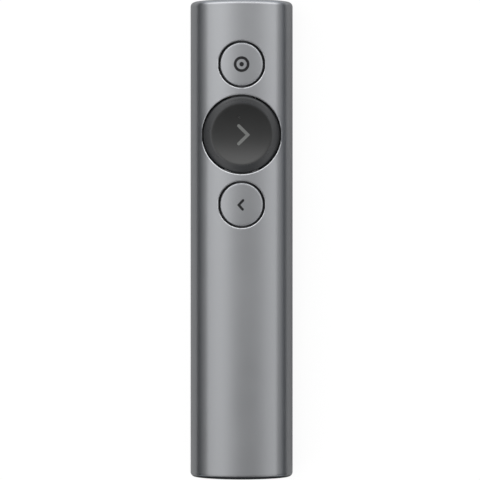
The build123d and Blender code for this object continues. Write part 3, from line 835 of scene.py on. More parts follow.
def finish_mesh(mesh: bpy.types.Mesh, edge: float = 0.0) -> bpy.types.Object:
    """Merges doubles, turns faces outwards, shades smooth and links the object.

    Args:
        mesh: The mesh in metres.
        edge: Width of a small round along the sharp edges, in millimetres, or 0 for none.

    Returns:
        The linked object at the origin.
    """
    work = bmesh.new()
    work.from_mesh(mesh)
    bmesh.ops.remove_doubles(work, verts=work.verts, dist=0.001 * MM)
    loose = [vertex for vertex in work.verts if not vertex.link_faces]
    bmesh.ops.delete(work, geom=loose, context="VERTS")
    bmesh.ops.recalc_face_normals(work, faces=work.faces)
    if edge:
        flat = math.radians(0.5)
        bmesh.ops.dissolve_limit(work, angle_limit=flat, verts=work.verts, edges=work.edges)
        crisp = [side for side in work.edges if len(side.link_faces) == 2 and side.calc_face_angle(0.0) > SHARP]
        bmesh.ops.bevel(
            work, geom=crisp, offset=edge * MM, segments=2, profile=0.5, affect="EDGES", clamp_overlap=True
        )
        bmesh.ops.triangulate(work, faces=[face for face in work.faces if len(face.verts) > 4])
    for side in work.edges:
        side.smooth = len(side.link_faces) == 2 and side.calc_face_angle(0.0) < SHARP
    for face in work.faces:
        face.smooth = True
    work.to_mesh(mesh)
    work.free()
    piece = link(mesh.name, mesh)
    if edge:
        weigh_normals(piece)
    return piece


def weigh_normals(piece: bpy.types.Object) -> None:
    """Lets large faces set the shading, so that flat faces with rounded edges look flat.

    Args:
        piece: The piece, whose mesh is replaced.
    """
    modifier = piece.modifiers.new("weigh", "WEIGHTED_NORMAL")
    modifier.keep_sharp = True
    plain, name = piece.data, piece.data.name
    piece.data = applied(piece, modifier)
    bpy.data.meshes.remove(plain)
    piece.data.name = name


BODY_OF = {node: body for body, nodes in frame["record"]["behaviour"]["bodies"].items() for node in nodes}
SLOT_OF = {row["node"]: row["material_slot"] for row in frame["record"]["subparts"]}


def settle(piece: bpy.types.Object, body: str, slot: str = "", stands_for: str = "") -> bpy.types.Object:
    """Ties a finished piece to its body and reports it.

    Args:
        piece: The piece.
        body: The body that it rides on.
        slot: The record's material slot that it takes its finish from, or nothing; not used.
        stands_for: The CAD node that it replaces, or nothing.

    Returns:
        The piece.
    """
    if stands_for:
        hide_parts(stands_for)
    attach(piece, body)
    log.info("%s rides on %s with %d faces", piece.name, body, len(piece.data.polygons))
    return piece


# ---------------------------------------------------------------- Geometry Nodes recipes
class Recipe(Graph):
    """A Geometry Nodes tree with named inputs that ends in real, dressed geometry.

    Args:
        name: The tree's name.
        sizes: Socket kinds of its inputs by name, besides the geometry and the finish.
    """

    def __init__(self, name: str, sizes: dict[str, str]) -> None:
        """Makes the tree's sockets."""
        super().__init__(bpy.data.node_groups.new(name, "GeometryNodeTree"))
        face = self.tree.interface
        face.new_socket("Geometry", in_out="INPUT", socket_type="NodeSocketGeometry")
        for label, kind in {**sizes, "Finish": "Material"}.items():
            face.new_socket(label, in_out="INPUT", socket_type=f"NodeSocket{kind}")
        face.new_socket("Geometry", in_out="OUTPUT", socket_type="NodeSocketGeometry")
        entry = self.node("NodeGroupInput").socket.node
        self.inputs = {socket.name: Wire(self, socket) for socket in entry.outputs if socket.name}

    def end(self, geometry: Wire) -> "Recipe":
        """Makes instances real, sets the finish and joins the result to the output.

        Args:
            geometry: What the tree has made so far.

        Returns:
            The recipe.
        """
        real = self.node("GeometryNodeRealizeInstances", values={0: geometry})
        dressed = self.node("GeometryNodeSetMaterial", values={"Geometry": real, "Material": self.inputs["Finish"]})
        self.node("NodeGroupOutput", values={0: dressed})
        return self

    def set_pieces(self, points: Wire, turn: Wire) -> "Recipe":
        """Sets the input piece on points and ends the tree.

        Args:
            points: The points.
            turn: How far each is turned about the vertical, in radians.

        Returns:
            The recipe.
        """
        angles = self.node("ShaderNodeCombineXYZ", values={2: turn})
        rotation = self.node("FunctionNodeEulerToRotation", values={0: angles})
        piece = self.node("GeometryNodeObjectInfo", values={"Object": self.inputs["Piece"]}, output="Geometry")
        values = {"Points": points, "Instance": piece, "Rotation": rotation}
        return self.end(self.node("GeometryNodeInstanceOnPoints", values=values))

    def grow(self, name: str, base: bpy.types.Object, values: dict[str, object]) -> bpy.types.Object:
        """Runs the tree on an object and keeps the result as a plain mesh.

        Args:
            name: Name of the finished piece.
            base: The object that carries the tree's input, which is removed.
            values: Values of the tree's inputs by name.

        Returns:
            The finished piece at the origin.
        """
        modifier = base.modifiers.new("recipe", "NODES")
        modifier.node_group = self.tree
        sockets = {item.name: item.identifier for item in self.tree.interface.items_tree if item.in_out == "INPUT"}
        for label, value in values.items():
            modifier[sockets[label]] = value
        bpy.context.view_layer.update()
        mesh = applied(base, modifier)
        for spare in [base, *[value for value in values.values() if isinstance(value, bpy.types.Object)]]:
            bpy.data.objects.remove(spare)
        mesh.name = name
        return finish_mesh(mesh)


def face_recipe() -> Recipe:
    """Builds the tree that lays a flat blank's marked points on the rule of a cap's face.

    Returns:
        The recipe. Its sizes are in millimetres.
    """
    labels = ("Centre", "Crest Height", "Crown", "Shoulder", "Shoulder Place", "Belt", "Arch Reach",
              "Dish Floor", "Dish Radius", "Crest")
    recipe = Recipe("cap_face", {label: "Float" for label in labels})
    size = recipe.inputs
    across, along, level = recipe.parts(recipe.node("GeometryNodeInputPosition"))
    across, along, level = across / MM, along / MM, level / MM
    crown, shoulder, radius = size["Crown"], size["Shoulder"], size["Dish Radius"]
    beyond, ahead = across.size() - size["Shoulder Place"], along - size["Centre"]
    arch = size["Crest Height"] - crown + (crown * crown - across * across).root()
    side = size["Belt"] + (shoulder * shoulder - beyond * beyond).root()
    outside = across.size().math("GREATER_THAN", size["Arch Reach"])
    arch = arch * (1.0 - outside) + side * outside
    dish = size["Dish Floor"] + radius - (radius * radius - ahead * ahead).root()
    face = arch.math("SMOOTH_MIN", dish, size["Crest"])
    on_face = recipe.node("GeometryNodeInputNamedAttribute", {"data_type": "FLOAT"}, {"Name": "on_face"})
    fall = recipe.node("GeometryNodeInputNamedAttribute", {"data_type": "FLOAT"}, {"Name": "fall"})
    placed = (face - fall) * on_face + level * (1.0 - on_face)
    target = recipe.node("ShaderNodeCombineXYZ", values={0: across * MM, 1: along * MM, 2: placed * MM})
    moved = recipe.node("GeometryNodeSetPosition", values={"Geometry": size["Geometry"], "Position": target})
    return recipe.end(moved)


def row_recipe() -> Recipe:
    """Builds the tree that repeats a piece in a row or round an axis.

    Returns:
        The recipe, with the number of items, the first one's place, and the step and turn from each to the next.
    """
    sizes = {"Count": "Int", "Start": "Vector", "Step": "Vector", "Turn": "Float", "Piece": "Object"}
    recipe = Recipe("rows", sizes)
    size = recipe.inputs
    values = {"Count": size["Count"], "Start Location": size["Start"], "Offset": size["Step"]}
    points = recipe.node("GeometryNodeMeshLine", {"mode": "OFFSET"}, values)
    return recipe.set_pieces(points, recipe.node("GeometryNodeInputIndex") * size["Turn"])


def scatter_recipe() -> Recipe:
    """Builds the tree that sets a piece on given points, each turned by some whole steps at random.

    Returns:
        The recipe, with the size of a turning step, how many steps there are at most and the seed.
    """
    recipe = Recipe("scatter", {"Turn Step": "Float", "Turns": "Int", "Seed": "Int", "Piece": "Object"})
    size = recipe.inputs
    values = {4: 0, 5: size["Turns"], "Seed": size["Seed"]}
    steps = recipe.node("FunctionNodeRandomValue", {"data_type": "INT"}, values, 2)
    return recipe.set_pieces(size["Geometry"], steps * size["Turn Step"])


def points_only(places: Sequence[Point3]) -> bpy.types.Object:
    """Makes an object of loose points.

    Args:
        places: The points, in millimetres.

    Returns:
        The object.
    """
    mesh = bpy.data.meshes.new("places")
    mesh.from_pydata([(x * MM, y * MM, z * MM) for x, y, z in places], [], [])
    return link("places", mesh)


def lay_row(
    rows: Recipe, name: str, piece: bpy.types.Object, finish: bpy.types.Material, count: int, start: Point3,
    step: Point3 = (0.0, 0.0, 0.0), turn: float = 0.0,
) -> bpy.types.Object:
    """Sets copies of a piece in a row, or round an axis where only the turn grows.

    Args:
        rows: The recipe that repeats.
        name: Name of the finished piece.
        piece: What is repeated.
        finish: Its material.
        count: How many there are.
        start: Place of the first, in millimetres.
        step: Way from each to the next, in millimetres.
        turn: Turn from each to the next, in radians.

    Returns:
        The finished piece.
    """
    places = {label: tuple(part * MM for part in place) for label, place in (("Start", start), ("Step", step))}
    values = {"Count": count, **places, "Turn": turn, "Piece": piece, "Finish": finish}
    return rows.grow(name, points_only([(0.0, 0.0, 0.0)]), values)


def strew(
    scatter: Recipe, name: str, piece: bpy.types.Object, finish: bpy.types.Material, places: Sequence[Point2],
    turn_step: float = 0.0, turns: int = 0, seed: int = 1,
) -> bpy.types.Object:
    """Sets copies of a piece on the main board.

    Args:
        scatter: The recipe that sets pieces on points.
        name: Name of the finished piece.
        piece: What is repeated.
        finish: Its material.
        places: Places in plan, in millimetres.
        turn_step: Size of a turning step, in radians.
        turns: Most steps that one is turned by.
        seed: Seed of the random turns.

    Returns:
        The finished piece.
    """
    values = {"Turn Step": turn_step, "Turns": turns, "Seed": seed, "Piece": piece, "Finish": finish}
    return scatter.grow(name, points_only([(x, y, BOARD_TOP) for x, y in places]), values)


def brick(name: str, low: Point3, high: Point3, edge: float) -> bpy.types.Object:
    """A small block with rounded edges, between two corners in millimetres.

    Args:
        name: The block's name.
        low: Its lowest corner.
        high: Its highest corner.
        edge: Width of the round on its edges.

    Returns:
        The block.
    """
    shell = Shell(name)
    shell.prism(((low[0], low[1]), (high[0], low[1]), (high[0], high[1]), (low[0], high[1])), low[2], high[2])
    return shell.build(edge=edge)


# ---------------------------------------------------------------- housing tube
def in_plan(place: Point3) -> Point2:
    """A place seen from above."""
    return place[0], place[1]


@dataclass(frozen=True)
class Opening:
    """A round opening in the button face.

    Args:
        centre: Place along Y.
        radius: Radius of the opening.
    """

    centre: float
    radius: float

    def reaches(self, place: Point3, spare: float = 0.0) -> bool:
        """True where a place lies within the opening and some spare width round it."""
        return math.hypot(place[0], place[1] - self.centre) <= self.radius + spare


@dataclass
class Tube:
    """The extruded aluminium tube with its bowed, rounded ends and three openings. Sizes in millimetres.

    Args:
        half_length: Half its length, along the middle.
        wall: Thickness of its wall.
        bow: How far the sides of an end lie behind its middle.
        edge_round: Radius of the ends' outer edge.
        rim_break: Width of the broken edge round an opening.
        openings: The openings, from +Y to -Y.
        counts: Steps on half the arch, a shoulder, a lower corner and half the flat back.
        round_steps: Steps on the ends' outer edge.
        circle_steps: Points on an opening's rim.
        run_in: Length at each end that the skins leave to that end's own rings.
        block_margin: Length of the block round the openings beyond the outer openings' centres.
        shoulder_columns: Columns of each shoulder that belong to the block.
        tail_steps: Steps between the tail and the block.
        block_steps: Steps along the block.
        nose_steps: Steps between the block and the nose.
    """

    half_length: float = 65.65
    wall: float = 1.4
    bow: float = 0.45
    edge_round: float = 1.2
    rim_break: float = 0.2
    openings: tuple[Opening, ...] = (Opening(POINTER_Y, 6.42), Opening(NEXT_Y, 10.86), Opening(BACK_Y, 6.42))
    counts: tuple[int, int, int, int] = (22, 18, 14, 8)
    round_steps: int = 7
    circle_steps: int = 120
    run_in: float = 3.0
    block_margin: float = 8.4
    shoulder_columns: int = 8
    tail_steps: int = 12
    block_steps: int = 40
    nose_steps: int = 3

    def bowed(self, across: float) -> float:
        """How far an end lies behind its middle at a distance across."""
        radius = ((SECTION.width / 2) ** 2 + self.bow**2) / (2 * self.bow)
        return radius - math.sqrt(radius**2 - across**2)

    def station(self, shell: Shell, along: float, inset: float, side: int) -> Loop:
        """One ring of the section at a place along Y, following the bow near an end.

        Args:
            shell: The mesh that gets the ring.
            along: Place of the ring's middle.
            inset: How far the ring lies inside the section.
            side: 1 or -1 where the ring follows that end's bow, 0 where it is flat.

        Returns:
            The ring's numbers.
        """
        chain = SECTION.chain(self.counts, inset)
        return shell.ring([(x, along - side * self.bowed(x), z) for x, z in chain])

    def skin(self, shell: Shell, inset: float, grow: float) -> tuple[Loop, Loop, list[Loop]]:
        """One skin of the tube between its ends, pierced by the openings.

        Args:
            shell: The mesh that gets the skin.
            inset: How far the skin lies inside the section.
            grow: How much wider the openings are in this skin.

        Returns:
            The ring at -Y, the ring at +Y and the rims of the openings.
        """
        low_y, high_y = self.run_in - self.half_length, self.half_length - self.run_in
        block_low = self.openings[-1].centre - self.block_margin
        block_high = self.openings[0].centre + self.block_margin
        tail, block, nose = self.tail_steps, self.block_steps, self.nose_steps
        places = [low_y + (block_low - low_y) * step / tail for step in range(tail)]
        places += [block_low + (block_high - block_low) * step / block for step in range(block + 1)]
        places += [block_high + (high_y - block_high) * step / nose for step in range(1, nose + 1)]
        rings = [self.station(shell, place, inset, 0) for place in places]
        total = len(rings[0])
        reach = self.counts[0] + self.shoulder_columns
        for row, (lower, upper) in enumerate(zip(rings, rings[1:])):
            in_block = tail <= row < tail + block
            for index in range(total):
                if in_block and (index < reach or index >= total - reach):
                    continue
                after = (index + 1) % total
                shell.faces.append([lower[index], lower[after], upper[after], upper[index]])
        return rings[0], rings[-1], self.pierce(shell, rings[tail:tail + block + 1], reach, inset, grow)

    def pierce(self, shell: Shell, rings: list[Loop], reach: int, inset: float, grow: float) -> list[Loop]:
        """Fills the block round the openings with triangles, laid out on the unrolled face.

        Args:
            shell: The mesh that gets the faces.
            rings: The rings of the block, from -Y to +Y.
            reach: Columns of the block on each side of the crest.
            inset: How far the skin lies inside the section.
            grow: How much wider the openings are in this skin.

        Returns:
            The rims of the openings.
        """
        total = len(rings[0])
        rows = [[ring[index % total] for index in range(-reach, reach + 1)] for ring in rings]
        outline = rows[0] + [row[-1] for row in rows[1:]] + rows[-1][-2::-1] + [row[0] for row in rows[-2:0:-1]]
        border = set(outline)

        def on_skin(across: float, _: float) -> float:
            """Height of this skin."""
            return SECTION.face_height(across, inset)

        def unrolled(place: Point3) -> Point2:
            """A place on the skin laid out flat."""
            return SECTION.girth(place[0], inset), place[1]

        def solid(place: Point3) -> bool:
            """True where a place isn't in an opening."""
            return not any(hole.reaches(place, -0.001) for hole in self.openings)

        rims, around = [], []
        for hole in self.openings:
            centre = (0.0, hole.centre)
            rims.append(shell.circle(centre, hole.radius + grow, self.circle_steps, on_skin))
            for extra, steps in ((0.36, self.circle_steps), (0.7, self.circle_steps // 2)):
                around += shell.circle(centre, hole.radius + extra, steps, on_skin)
        inner = [number for row in rows for number in row if number not in border]
        clear = [n for n in inner if not any(hole.reaches(shell.points[n], 1.0) for hole in self.openings)]
        shell.fill([outline, *rims], clear + around, unrolled, solid)
        return rims

    def broken(self, shell: Shell, hole: Opening, angle: float) -> Loop:
        """Adds one ring on the broken edge of an opening.

        Args:
            shell: The mesh that gets the ring.
            hole: The opening.
            angle: How far round that edge the ring lies, in radians.

        Returns:
            The ring's numbers.
        """
        drop = self.rim_break * (1 - math.cos(angle))

        def under_face(across: float, _: float) -> float:
            """Height of the ring."""
            return SECTION.face_height(across) - drop

        radius = hole.radius + self.rim_break * (1 - math.sin(angle))
        return shell.circle((0.0, hole.centre), radius, self.circle_steps, under_face)

    def make(self, metal: bpy.types.Material) -> bpy.types.Object:
        """Builds the tube and lets it stand for the CAD node.

        Args:
            metal: The tube's material.

        Returns:
            The finished piece.
        """
        shell = Shell("tube_skin")
        low, high, outer_rims = self.skin(shell, 0.0, self.rim_break)
        inner_low, inner_high, inner_rims = self.skin(shell, self.wall, 0.0)
        for side, outer, inner in ((-1, low, inner_low), (1, high, inner_high)):
            flat_end = self.half_length - self.edge_round - self.rim_break
            rings = [outer, self.station(shell, side * flat_end, 0.0, side)]
            for step in range(self.round_steps + 1):
                angle = math.pi / 2 * step / self.round_steps
                along = self.half_length - self.edge_round * (1 - math.sin(angle))
                rings.append(self.station(shell, side * along, self.edge_round * (1 - math.cos(angle)), side))
            rings.append(self.station(shell, side * self.half_length, self.wall, side))
            shell.tower([*rings, inner])
        for hole, outer, inner in zip(self.openings, outer_rims, inner_rims):
            shell.tower([outer, *(self.broken(shell, hole, angle) for angle in (math.pi / 4, math.pi / 2)), inner])
        return settle(shell.build(metal), "housing", "anodised_aluminium", "body_tube")


# ---------------------------------------------------------------- buttons
class Symbol(Enum):
    """The plain symbols on the buttons."""

    POINTER = "pointer"
    FORWARD = "forward"
    BACK = "back"


@dataclass(frozen=True)
class Mark:
    """A thin symbol laid on a button's face. Sizes in millimetres.

    Args:
        symbol: Which symbol.
        width: Width of its lines.
        path: Corners of a chevron's line from the button's centre.
        ring: Radius of the ring round the pointer's dot.
        dot: Radius of that dot.
        proud: How far the symbol stands above the face.
        sunk: How far it reaches below the face, so that no gap shows.
        around: Points on each circle of the ring and the dot.
        spans: Faces across the ring and the dot.
        core: Radius of the dot's innermost circle.
    """

    symbol: Symbol
    width: float
    path: tuple[Point2, ...] = ()
    ring: float = 0.0
    dot: float = 0.0
    proud: float = 0.012
    sunk: float = 0.08
    around: int = 96
    spans: int = 5
    core: float = 0.004

    def lay(self, shell: Shell, rows: list[list[Point2]], height: Height, closed: bool) -> None:
        """Lays a filled shape on a surface.

        Args:
            shell: The mesh that gets the shape.
            rows: Its cross-lines in plan.
            height: Height of the surface at a place in plan.
            closed: True where the last cross-line joins the first.
        """
        tops = [shell.ring([(x, y, height(x, y) + self.proud) for x, y in row]) for row in rows]
        feet = [shell.ring([(x, y, height(x, y) - self.sunk) for x, y in row]) for row in rows]
        for index in range(len(rows) if closed else len(rows) - 1):
            after = (index + 1) % len(rows)
            shell.bridge(tops[index], tops[after], closed=False)
            shell.bridge(feet[index], feet[after], closed=False)
            for end in (0, -1):
                shell.faces.append([tops[index][end], tops[after][end], feet[after][end], feet[index][end]])

    def line(self, path: Sequence[Point2], steps: int = 12) -> list[list[Point2]]:
        """Cross-lines of a line of constant width with a mitred corner and round ends.

        Args:
            path: The line's corners in plan.
            steps: Cross-lines on each run and on each round end.

        Returns:
            The cross-lines, each of the same number of points.
        """
        half = self.width / 2
        shares = (-1.0, -0.6, -0.2, 0.2, 0.6, 1.0)
        rows: list[list[Point2]] = []

        def cross(centre: Point2, angle: float, reach: float) -> None:
            """Adds one cross-line square to an angle."""
            side = (-math.sin(angle) * reach, math.cos(angle) * reach)
            rows.append([(centre[0] + side[0] * share, centre[1] + side[1] * share) for share in shares])

        def round_end(corner: Point2, heading: float, side: int) -> None:
            """Adds the cross-lines of a round end.

            Args:
                corner: The last corner of the path at that end.
                heading: Direction of the line there, in radians.
                side: 1 where the round end lies ahead of the corner, -1 where it lies behind.
            """
            for step in range(1, steps + 1) if side > 0 else range(steps, 0, -1):
                turn = math.pi / 2 * step / steps
                out = side * half * math.sin(turn)
                cross((corner[0] + out * math.cos(heading), corner[1] + out * math.sin(heading)), heading,
                      max(half * math.cos(turn), 0.002))

        headings = [math.atan2(b[1] - a[1], b[0] - a[0]) for a, b in zip(path, path[1:])]
        round_end(path[0], headings[0], -1)
        for index, heading in enumerate(headings):
            before = headings[max(index - 1, 0)]
            after = headings[min(index + 1, len(headings) - 1)]
            for step in range(steps + (index + 1 == len(headings))):
                share = step / steps
                lean = (before - heading) / 2 * (1 - share) + (after - heading) / 2 * share
                (x, y), (to_x, to_y) = path[index], path[index + 1]
                cross((x + (to_x - x) * share, y + (to_y - y) * share), heading + lean, half / math.cos(lean))
        round_end(path[-1], headings[-1], 1)
        return rows

    def make(self, button: "Button", ink: bpy.types.Material) -> bpy.types.Object:
        """Builds the symbol.

        Args:
            button: The button that it lies on.
            ink: The symbol's material.

        Returns:
            The finished piece.
        """
        shell = Shell(f"{button.name}_symbol")
        centre, height = button.centre, button.face
        if self.symbol is Symbol.POINTER:
            half = self.width / 2
            for low, high in ((self.ring - half, self.ring + half), (self.core, self.dot)):
                spread = [low + (high - low) * step / self.spans for step in range(self.spans + 1)]
                rows = []
                for step in range(self.around):
                    turn = 2 * math.pi * step / self.around
                    rows.append([(r * math.cos(turn), centre + r * math.sin(turn)) for r in spread])
                self.lay(shell, rows, height, closed=True)
        else:
            rows = self.line([(x, centre + y) for x, y in self.path])
            self.lay(shell, rows, height, closed=False)
        return settle(shell.build(ink), f"{button.name}_button")


@dataclass(frozen=True)
class CapRule:
    """The rule of a cap's face, in millimetres.

    Args:
        rise: How far the face stands proud of the tube's section.
        dish_floor: Height of the bottom of the hollow across the arch, or a height out of reach for none.
        dish_radius: Radius of that hollow.
        crest: How softly the hollow's edge rolls over.
    """

    rise: float = 0.0
    dish_floor: float = 40.0
    dish_radius: float = 38.0
    crest: float = 0.0

    def height(self, across: float, ahead: float) -> float:
        """Height of the face.

        Args:
            across: Distance from the tube's middle.
            ahead: Distance along Y from the cap's centre.

        Returns:
            The height.
        """
        arch = SECTION.face_height(across, -self.rise)
        dish = self.dish_floor + self.dish_radius - math.sqrt(self.dish_radius**2 - ahead**2)
        gap = max(self.crest - abs(arch - dish), 0.0) / self.crest if self.crest else 0.0
        return min(arch, dish) - gap**3 * self.crest / 6


@dataclass
class Button:
    """One push button with its cap, ribs and symbol. Sizes in millimetres.

    Args:
        name: The button's name.
        centre: Place along Y.
        radius: The cap's radius.
        skirt: Thickness of the cap's skirt.
        foot: Height of the cap's lower edge.
        roof: Height of the underside of the cap's roof.
        rim_round: Radius of the cap's upper edge.
        rule: The rule of the cap's face.
        flange: Radius of the flange under the tube's wall, or 0 where lugs do its work.
        ribs: Number of ribs from the post to the skirt.
        pinhole: Place and radius of the light pipe's hole from the cap's centre, or nothing.
        around: Points on the cap's outline.
        post: Radius of the post under the roof.
        post_foot: Height of the post's lower end.
        under_wall: Depth of the flange's top below the tube's section.
        brow: Radius where the face starts to fall away towards its edge.
        brow_slope: Slope of that fall.
        rib_thickness: Thickness of the ribs.
        grid: Distance between the circles of points on the face.
        round_steps: Steps on the cap's upper edge.
        bore_steps: Points round the light pipe's hole.
        post_steps: Points round the post.
    """

    name: str
    centre: float
    radius: float
    skirt: float
    foot: float
    roof: float
    rim_round: float
    rule: CapRule
    flange: float = 0.0
    ribs: int = 4
    pinhole: tuple[float, float, float] | None = None
    around: int = 128
    post: float = 1.5
    post_foot: float = 7.4
    under_wall: float = 1.55
    brow: float = 8.4
    brow_slope: float = 0.0
    rib_thickness: float = 0.7
    grid: float = 0.42
    round_steps: int = 6
    bore_steps: int = 28
    post_steps: int = 48

    def face(self, across: float, along: float) -> float:
        """Height of the cap's face at a place in plan."""
        return self.rule.height(across, along - self.centre)

    def blank(self) -> bpy.types.Object:
        """Builds the cap with a flat face whose points are marked for the face's recipe.

        Returns:
            The object.
        """
        shell = Shell(f"{self.name}_blank")
        middle = (0.0, self.centre)
        lip = self.radius - self.rim_round
        inner = shell.circle(middle, 0.003, 3, 0.0)
        spans = max(6, round(lip / self.grid))
        for step in range(1, spans):
            radius = lip * step / spans
            steps = max(8, 4 * round(self.around * radius / lip / 4))
            inner += shell.circle(middle, radius, steps, 0.0)
        outline = shell.circle(middle, lip, self.around, 0.0)
        mouths, feet = [], []
        if self.pinhole:
            aside, ahead, bore = self.pinhole
            inner = [number for number in inner if self.clear_of_pinhole(shell.points[number], 0.12)]
            hole = (aside, self.centre + ahead)
            mouths = [shell.circle(hole, bore, self.bore_steps, 0.0)]
            feet = [shell.circle(hole, bore, self.bore_steps, self.roof)]
            shell.bridge(mouths[0], feet[0])
        shell.fill([outline, *mouths], inner, in_plan, self.clear_of_pinhole)
        rings, falls = [outline], dict.fromkeys(sum(mouths, inner + outline), 0.0)
        for step in range(1, self.round_steps + 1):
            angle = math.pi / 2 * step / self.round_steps
            rings.append(shell.circle(middle, lip + self.rim_round * math.sin(angle), self.around, 0.0))
            falls.update(dict.fromkeys(rings[-1], self.rim_round * (1 - math.cos(angle))))
        for number in falls:
            reach = math.hypot(shell.points[number][0], shell.points[number][1] - self.centre)
            falls[number] += max(reach - self.brow, 0.0) * self.brow_slope
        shell.marks = {"fall": falls, "on_face": dict.fromkeys(falls, 1.0)}
        hollow, outer = self.radius - self.skirt, self.flange or self.radius
        if self.flange:
            rings += [shell.circle(middle, reach, self.around, self.flange_top) for reach in (self.radius, outer)]
        for reach, level in ((outer, self.foot), (hollow, self.foot), (hollow, self.roof)):
            rings.append(shell.circle(middle, reach, self.around, level))
        shell.tower(rings)
        post = shell.circle(middle, self.post, self.post_steps, self.roof)
        tip = shell.circle(middle, self.post, self.post_steps, self.post_foot)
        shell.bridge(post, tip)
        shell.fan(tip, (0.0, self.centre, self.post_foot))
        spread = []
        for reach in (2.6, 3.9, 5.6, 7.6, hollow - 0.5):
            if reach <= hollow - 0.5:
                spread += shell.circle(middle, reach, 8 * round(reach * 1.5), self.roof)
        spread = [number for number in spread if self.clear_of_pinhole(shell.points[number], 0.3)]
        shell.fill([rings[-1], post, *feet], spread, in_plan, self.beside_post)
        return shell.build()

    def flange_top(self, across: float, _: float) -> float:
        """Height of the flange's top, just under the tube's wall."""
        return SECTION.face_height(across, self.under_wall)

    def beside_post(self, place: Point3) -> bool:
        """True where a place lies neither in the post nor in the light pipe's hole."""
        return math.hypot(place[0], place[1] - self.centre) > self.post and self.clear_of_pinhole(place)

    def clear_of_pinhole(self, place: Point3, spare: float = 0.0) -> bool:
        """Tells whether a place isn't in the light pipe's hole.

        Args:
            place: The place.
            spare: Width round the hole that counts as part of it.

        Returns:
            True where it isn't.
        """
        if not self.pinhole:
            return True
        x, y, radius = self.pinhole
        return math.hypot(place[0] - x, place[1] - self.centre - y) > radius + spare

    def make(self, recipe: Recipe, slot: str, finish: bpy.types.Material) -> bpy.types.Object:
        """Builds the cap and lets it stand for the CAD node.

        Args:
            recipe: The face's recipe.
            slot: The record's material slot.
            finish: The cap's material.

        Returns:
            The finished cap.
        """
        rise = self.rule.rise
        crown = SECTION.crown + rise
        values = {
            "Centre": self.centre, "Crest Height": SECTION.height + rise, "Crown": crown,
            "Shoulder": SECTION.shoulder + rise, "Shoulder Place": SECTION.shoulder_x, "Belt": SECTION.belt,
            "Arch Reach": crown * math.sin(SECTION.arch_angle), "Dish Floor": self.rule.dish_floor,
            "Dish Radius": self.rule.dish_radius, "Crest": self.rule.crest, "Finish": finish,
        }
        piece = recipe.grow(f"{self.name}_face", self.blank(), values)
        return settle(piece, f"{self.name}_button", slot, f"{self.name}_cap")

    def stiffen(self, rows: Recipe, slot: str, finish: bpy.types.Material) -> bpy.types.Object:
        """Sets ribs round the post under the cap's roof.

        Args:
            rows: The recipe that repeats.
            slot: The record's material slot.
            finish: The ribs' material.

        Returns:
            The finished piece.
        """
        half, sunk = self.rib_thickness / 2, 0.08
        reach = self.radius - self.skirt + sunk
        rib = brick("rib", (self.post - sunk, -half, self.foot), (reach, half, self.roof + sunk), 0.05)
        return self.repeat(rows, f"{self.name}_ribs", rib, self.ribs, slot, finish)

    def repeat(
        self, rows: Recipe, name: str, piece: bpy.types.Object, count: int, slot: str, finish: bpy.types.Material
    ) -> bpy.types.Object:
        """Sets copies of a piece evenly round the button's axis.

        Args:
            rows: The recipe that repeats.
            name: Name of the finished piece.
            piece: What is repeated, placed from the button's centre, ahead along +X.
            count: How many there are.
            slot: The record's material slot.
            finish: Its material.

        Returns:
            The finished piece.
        """
        grown = lay_row(rows, name, piece, finish, count, (0.0, self.centre, 0.0), turn=2 * math.pi / count)
        return settle(grown, f"{self.name}_button", slot)


def lug(reach: float, root: float, half_width: float, low: float, high: float) -> bpy.types.Object:
    """A lug that catches under the tube's wall, ahead along +X, with a round outer face.

    Args:
        reach: Radius of its outer face.
        root: Radius where it leaves the skirt.
        half_width: Half its width.
        low: Height of its underside.
        high: Height of its top.

    Returns:
        The lug.
    """
    shell = Shell("lug")
    half = 6  # steps on half of each arc
    outline = []
    for radius, steps in ((reach, range(-half, half + 1)), (root, range(half, -half - 1, -1))):
        angle = math.asin(half_width / radius)
        for step in steps:
            turn = angle * step / half
            outline.append((radius * math.cos(turn), radius * math.sin(turn)))
    shell.prism(outline, low, high)
    return shell.build()


# ---------------------------------------------------------------- fittings, fasteners and the board's dressing
@dataclass(frozen=True)
class Fitting:
    """A moulded or pressed CAD node that keeps its shape and gets softened edges.

    Args:
        node: The CAD node.
        edge: Width of the round on its edges, in millimetres.
    """

    node: str
    edge: float

    def make(self, finishes: dict[str, bpy.types.Material]) -> bpy.types.Object:
        """Builds the softened piece from a copy of the node's mesh and lets it stand for the node.

        Args:
            finishes: The materials by slot name.

        Returns:
            The finished piece.
        """
        slot = SLOT_OF[self.node]
        mesh = frame["nodes"][self.node].data.copy()
        mesh.name = f"{self.node}_part"
        mesh.materials.clear()
        mesh.materials.append(finishes[slot])
        piece = finish_mesh(mesh, self.edge)
        return settle(piece, BODY_OF[self.node], slot, self.node)


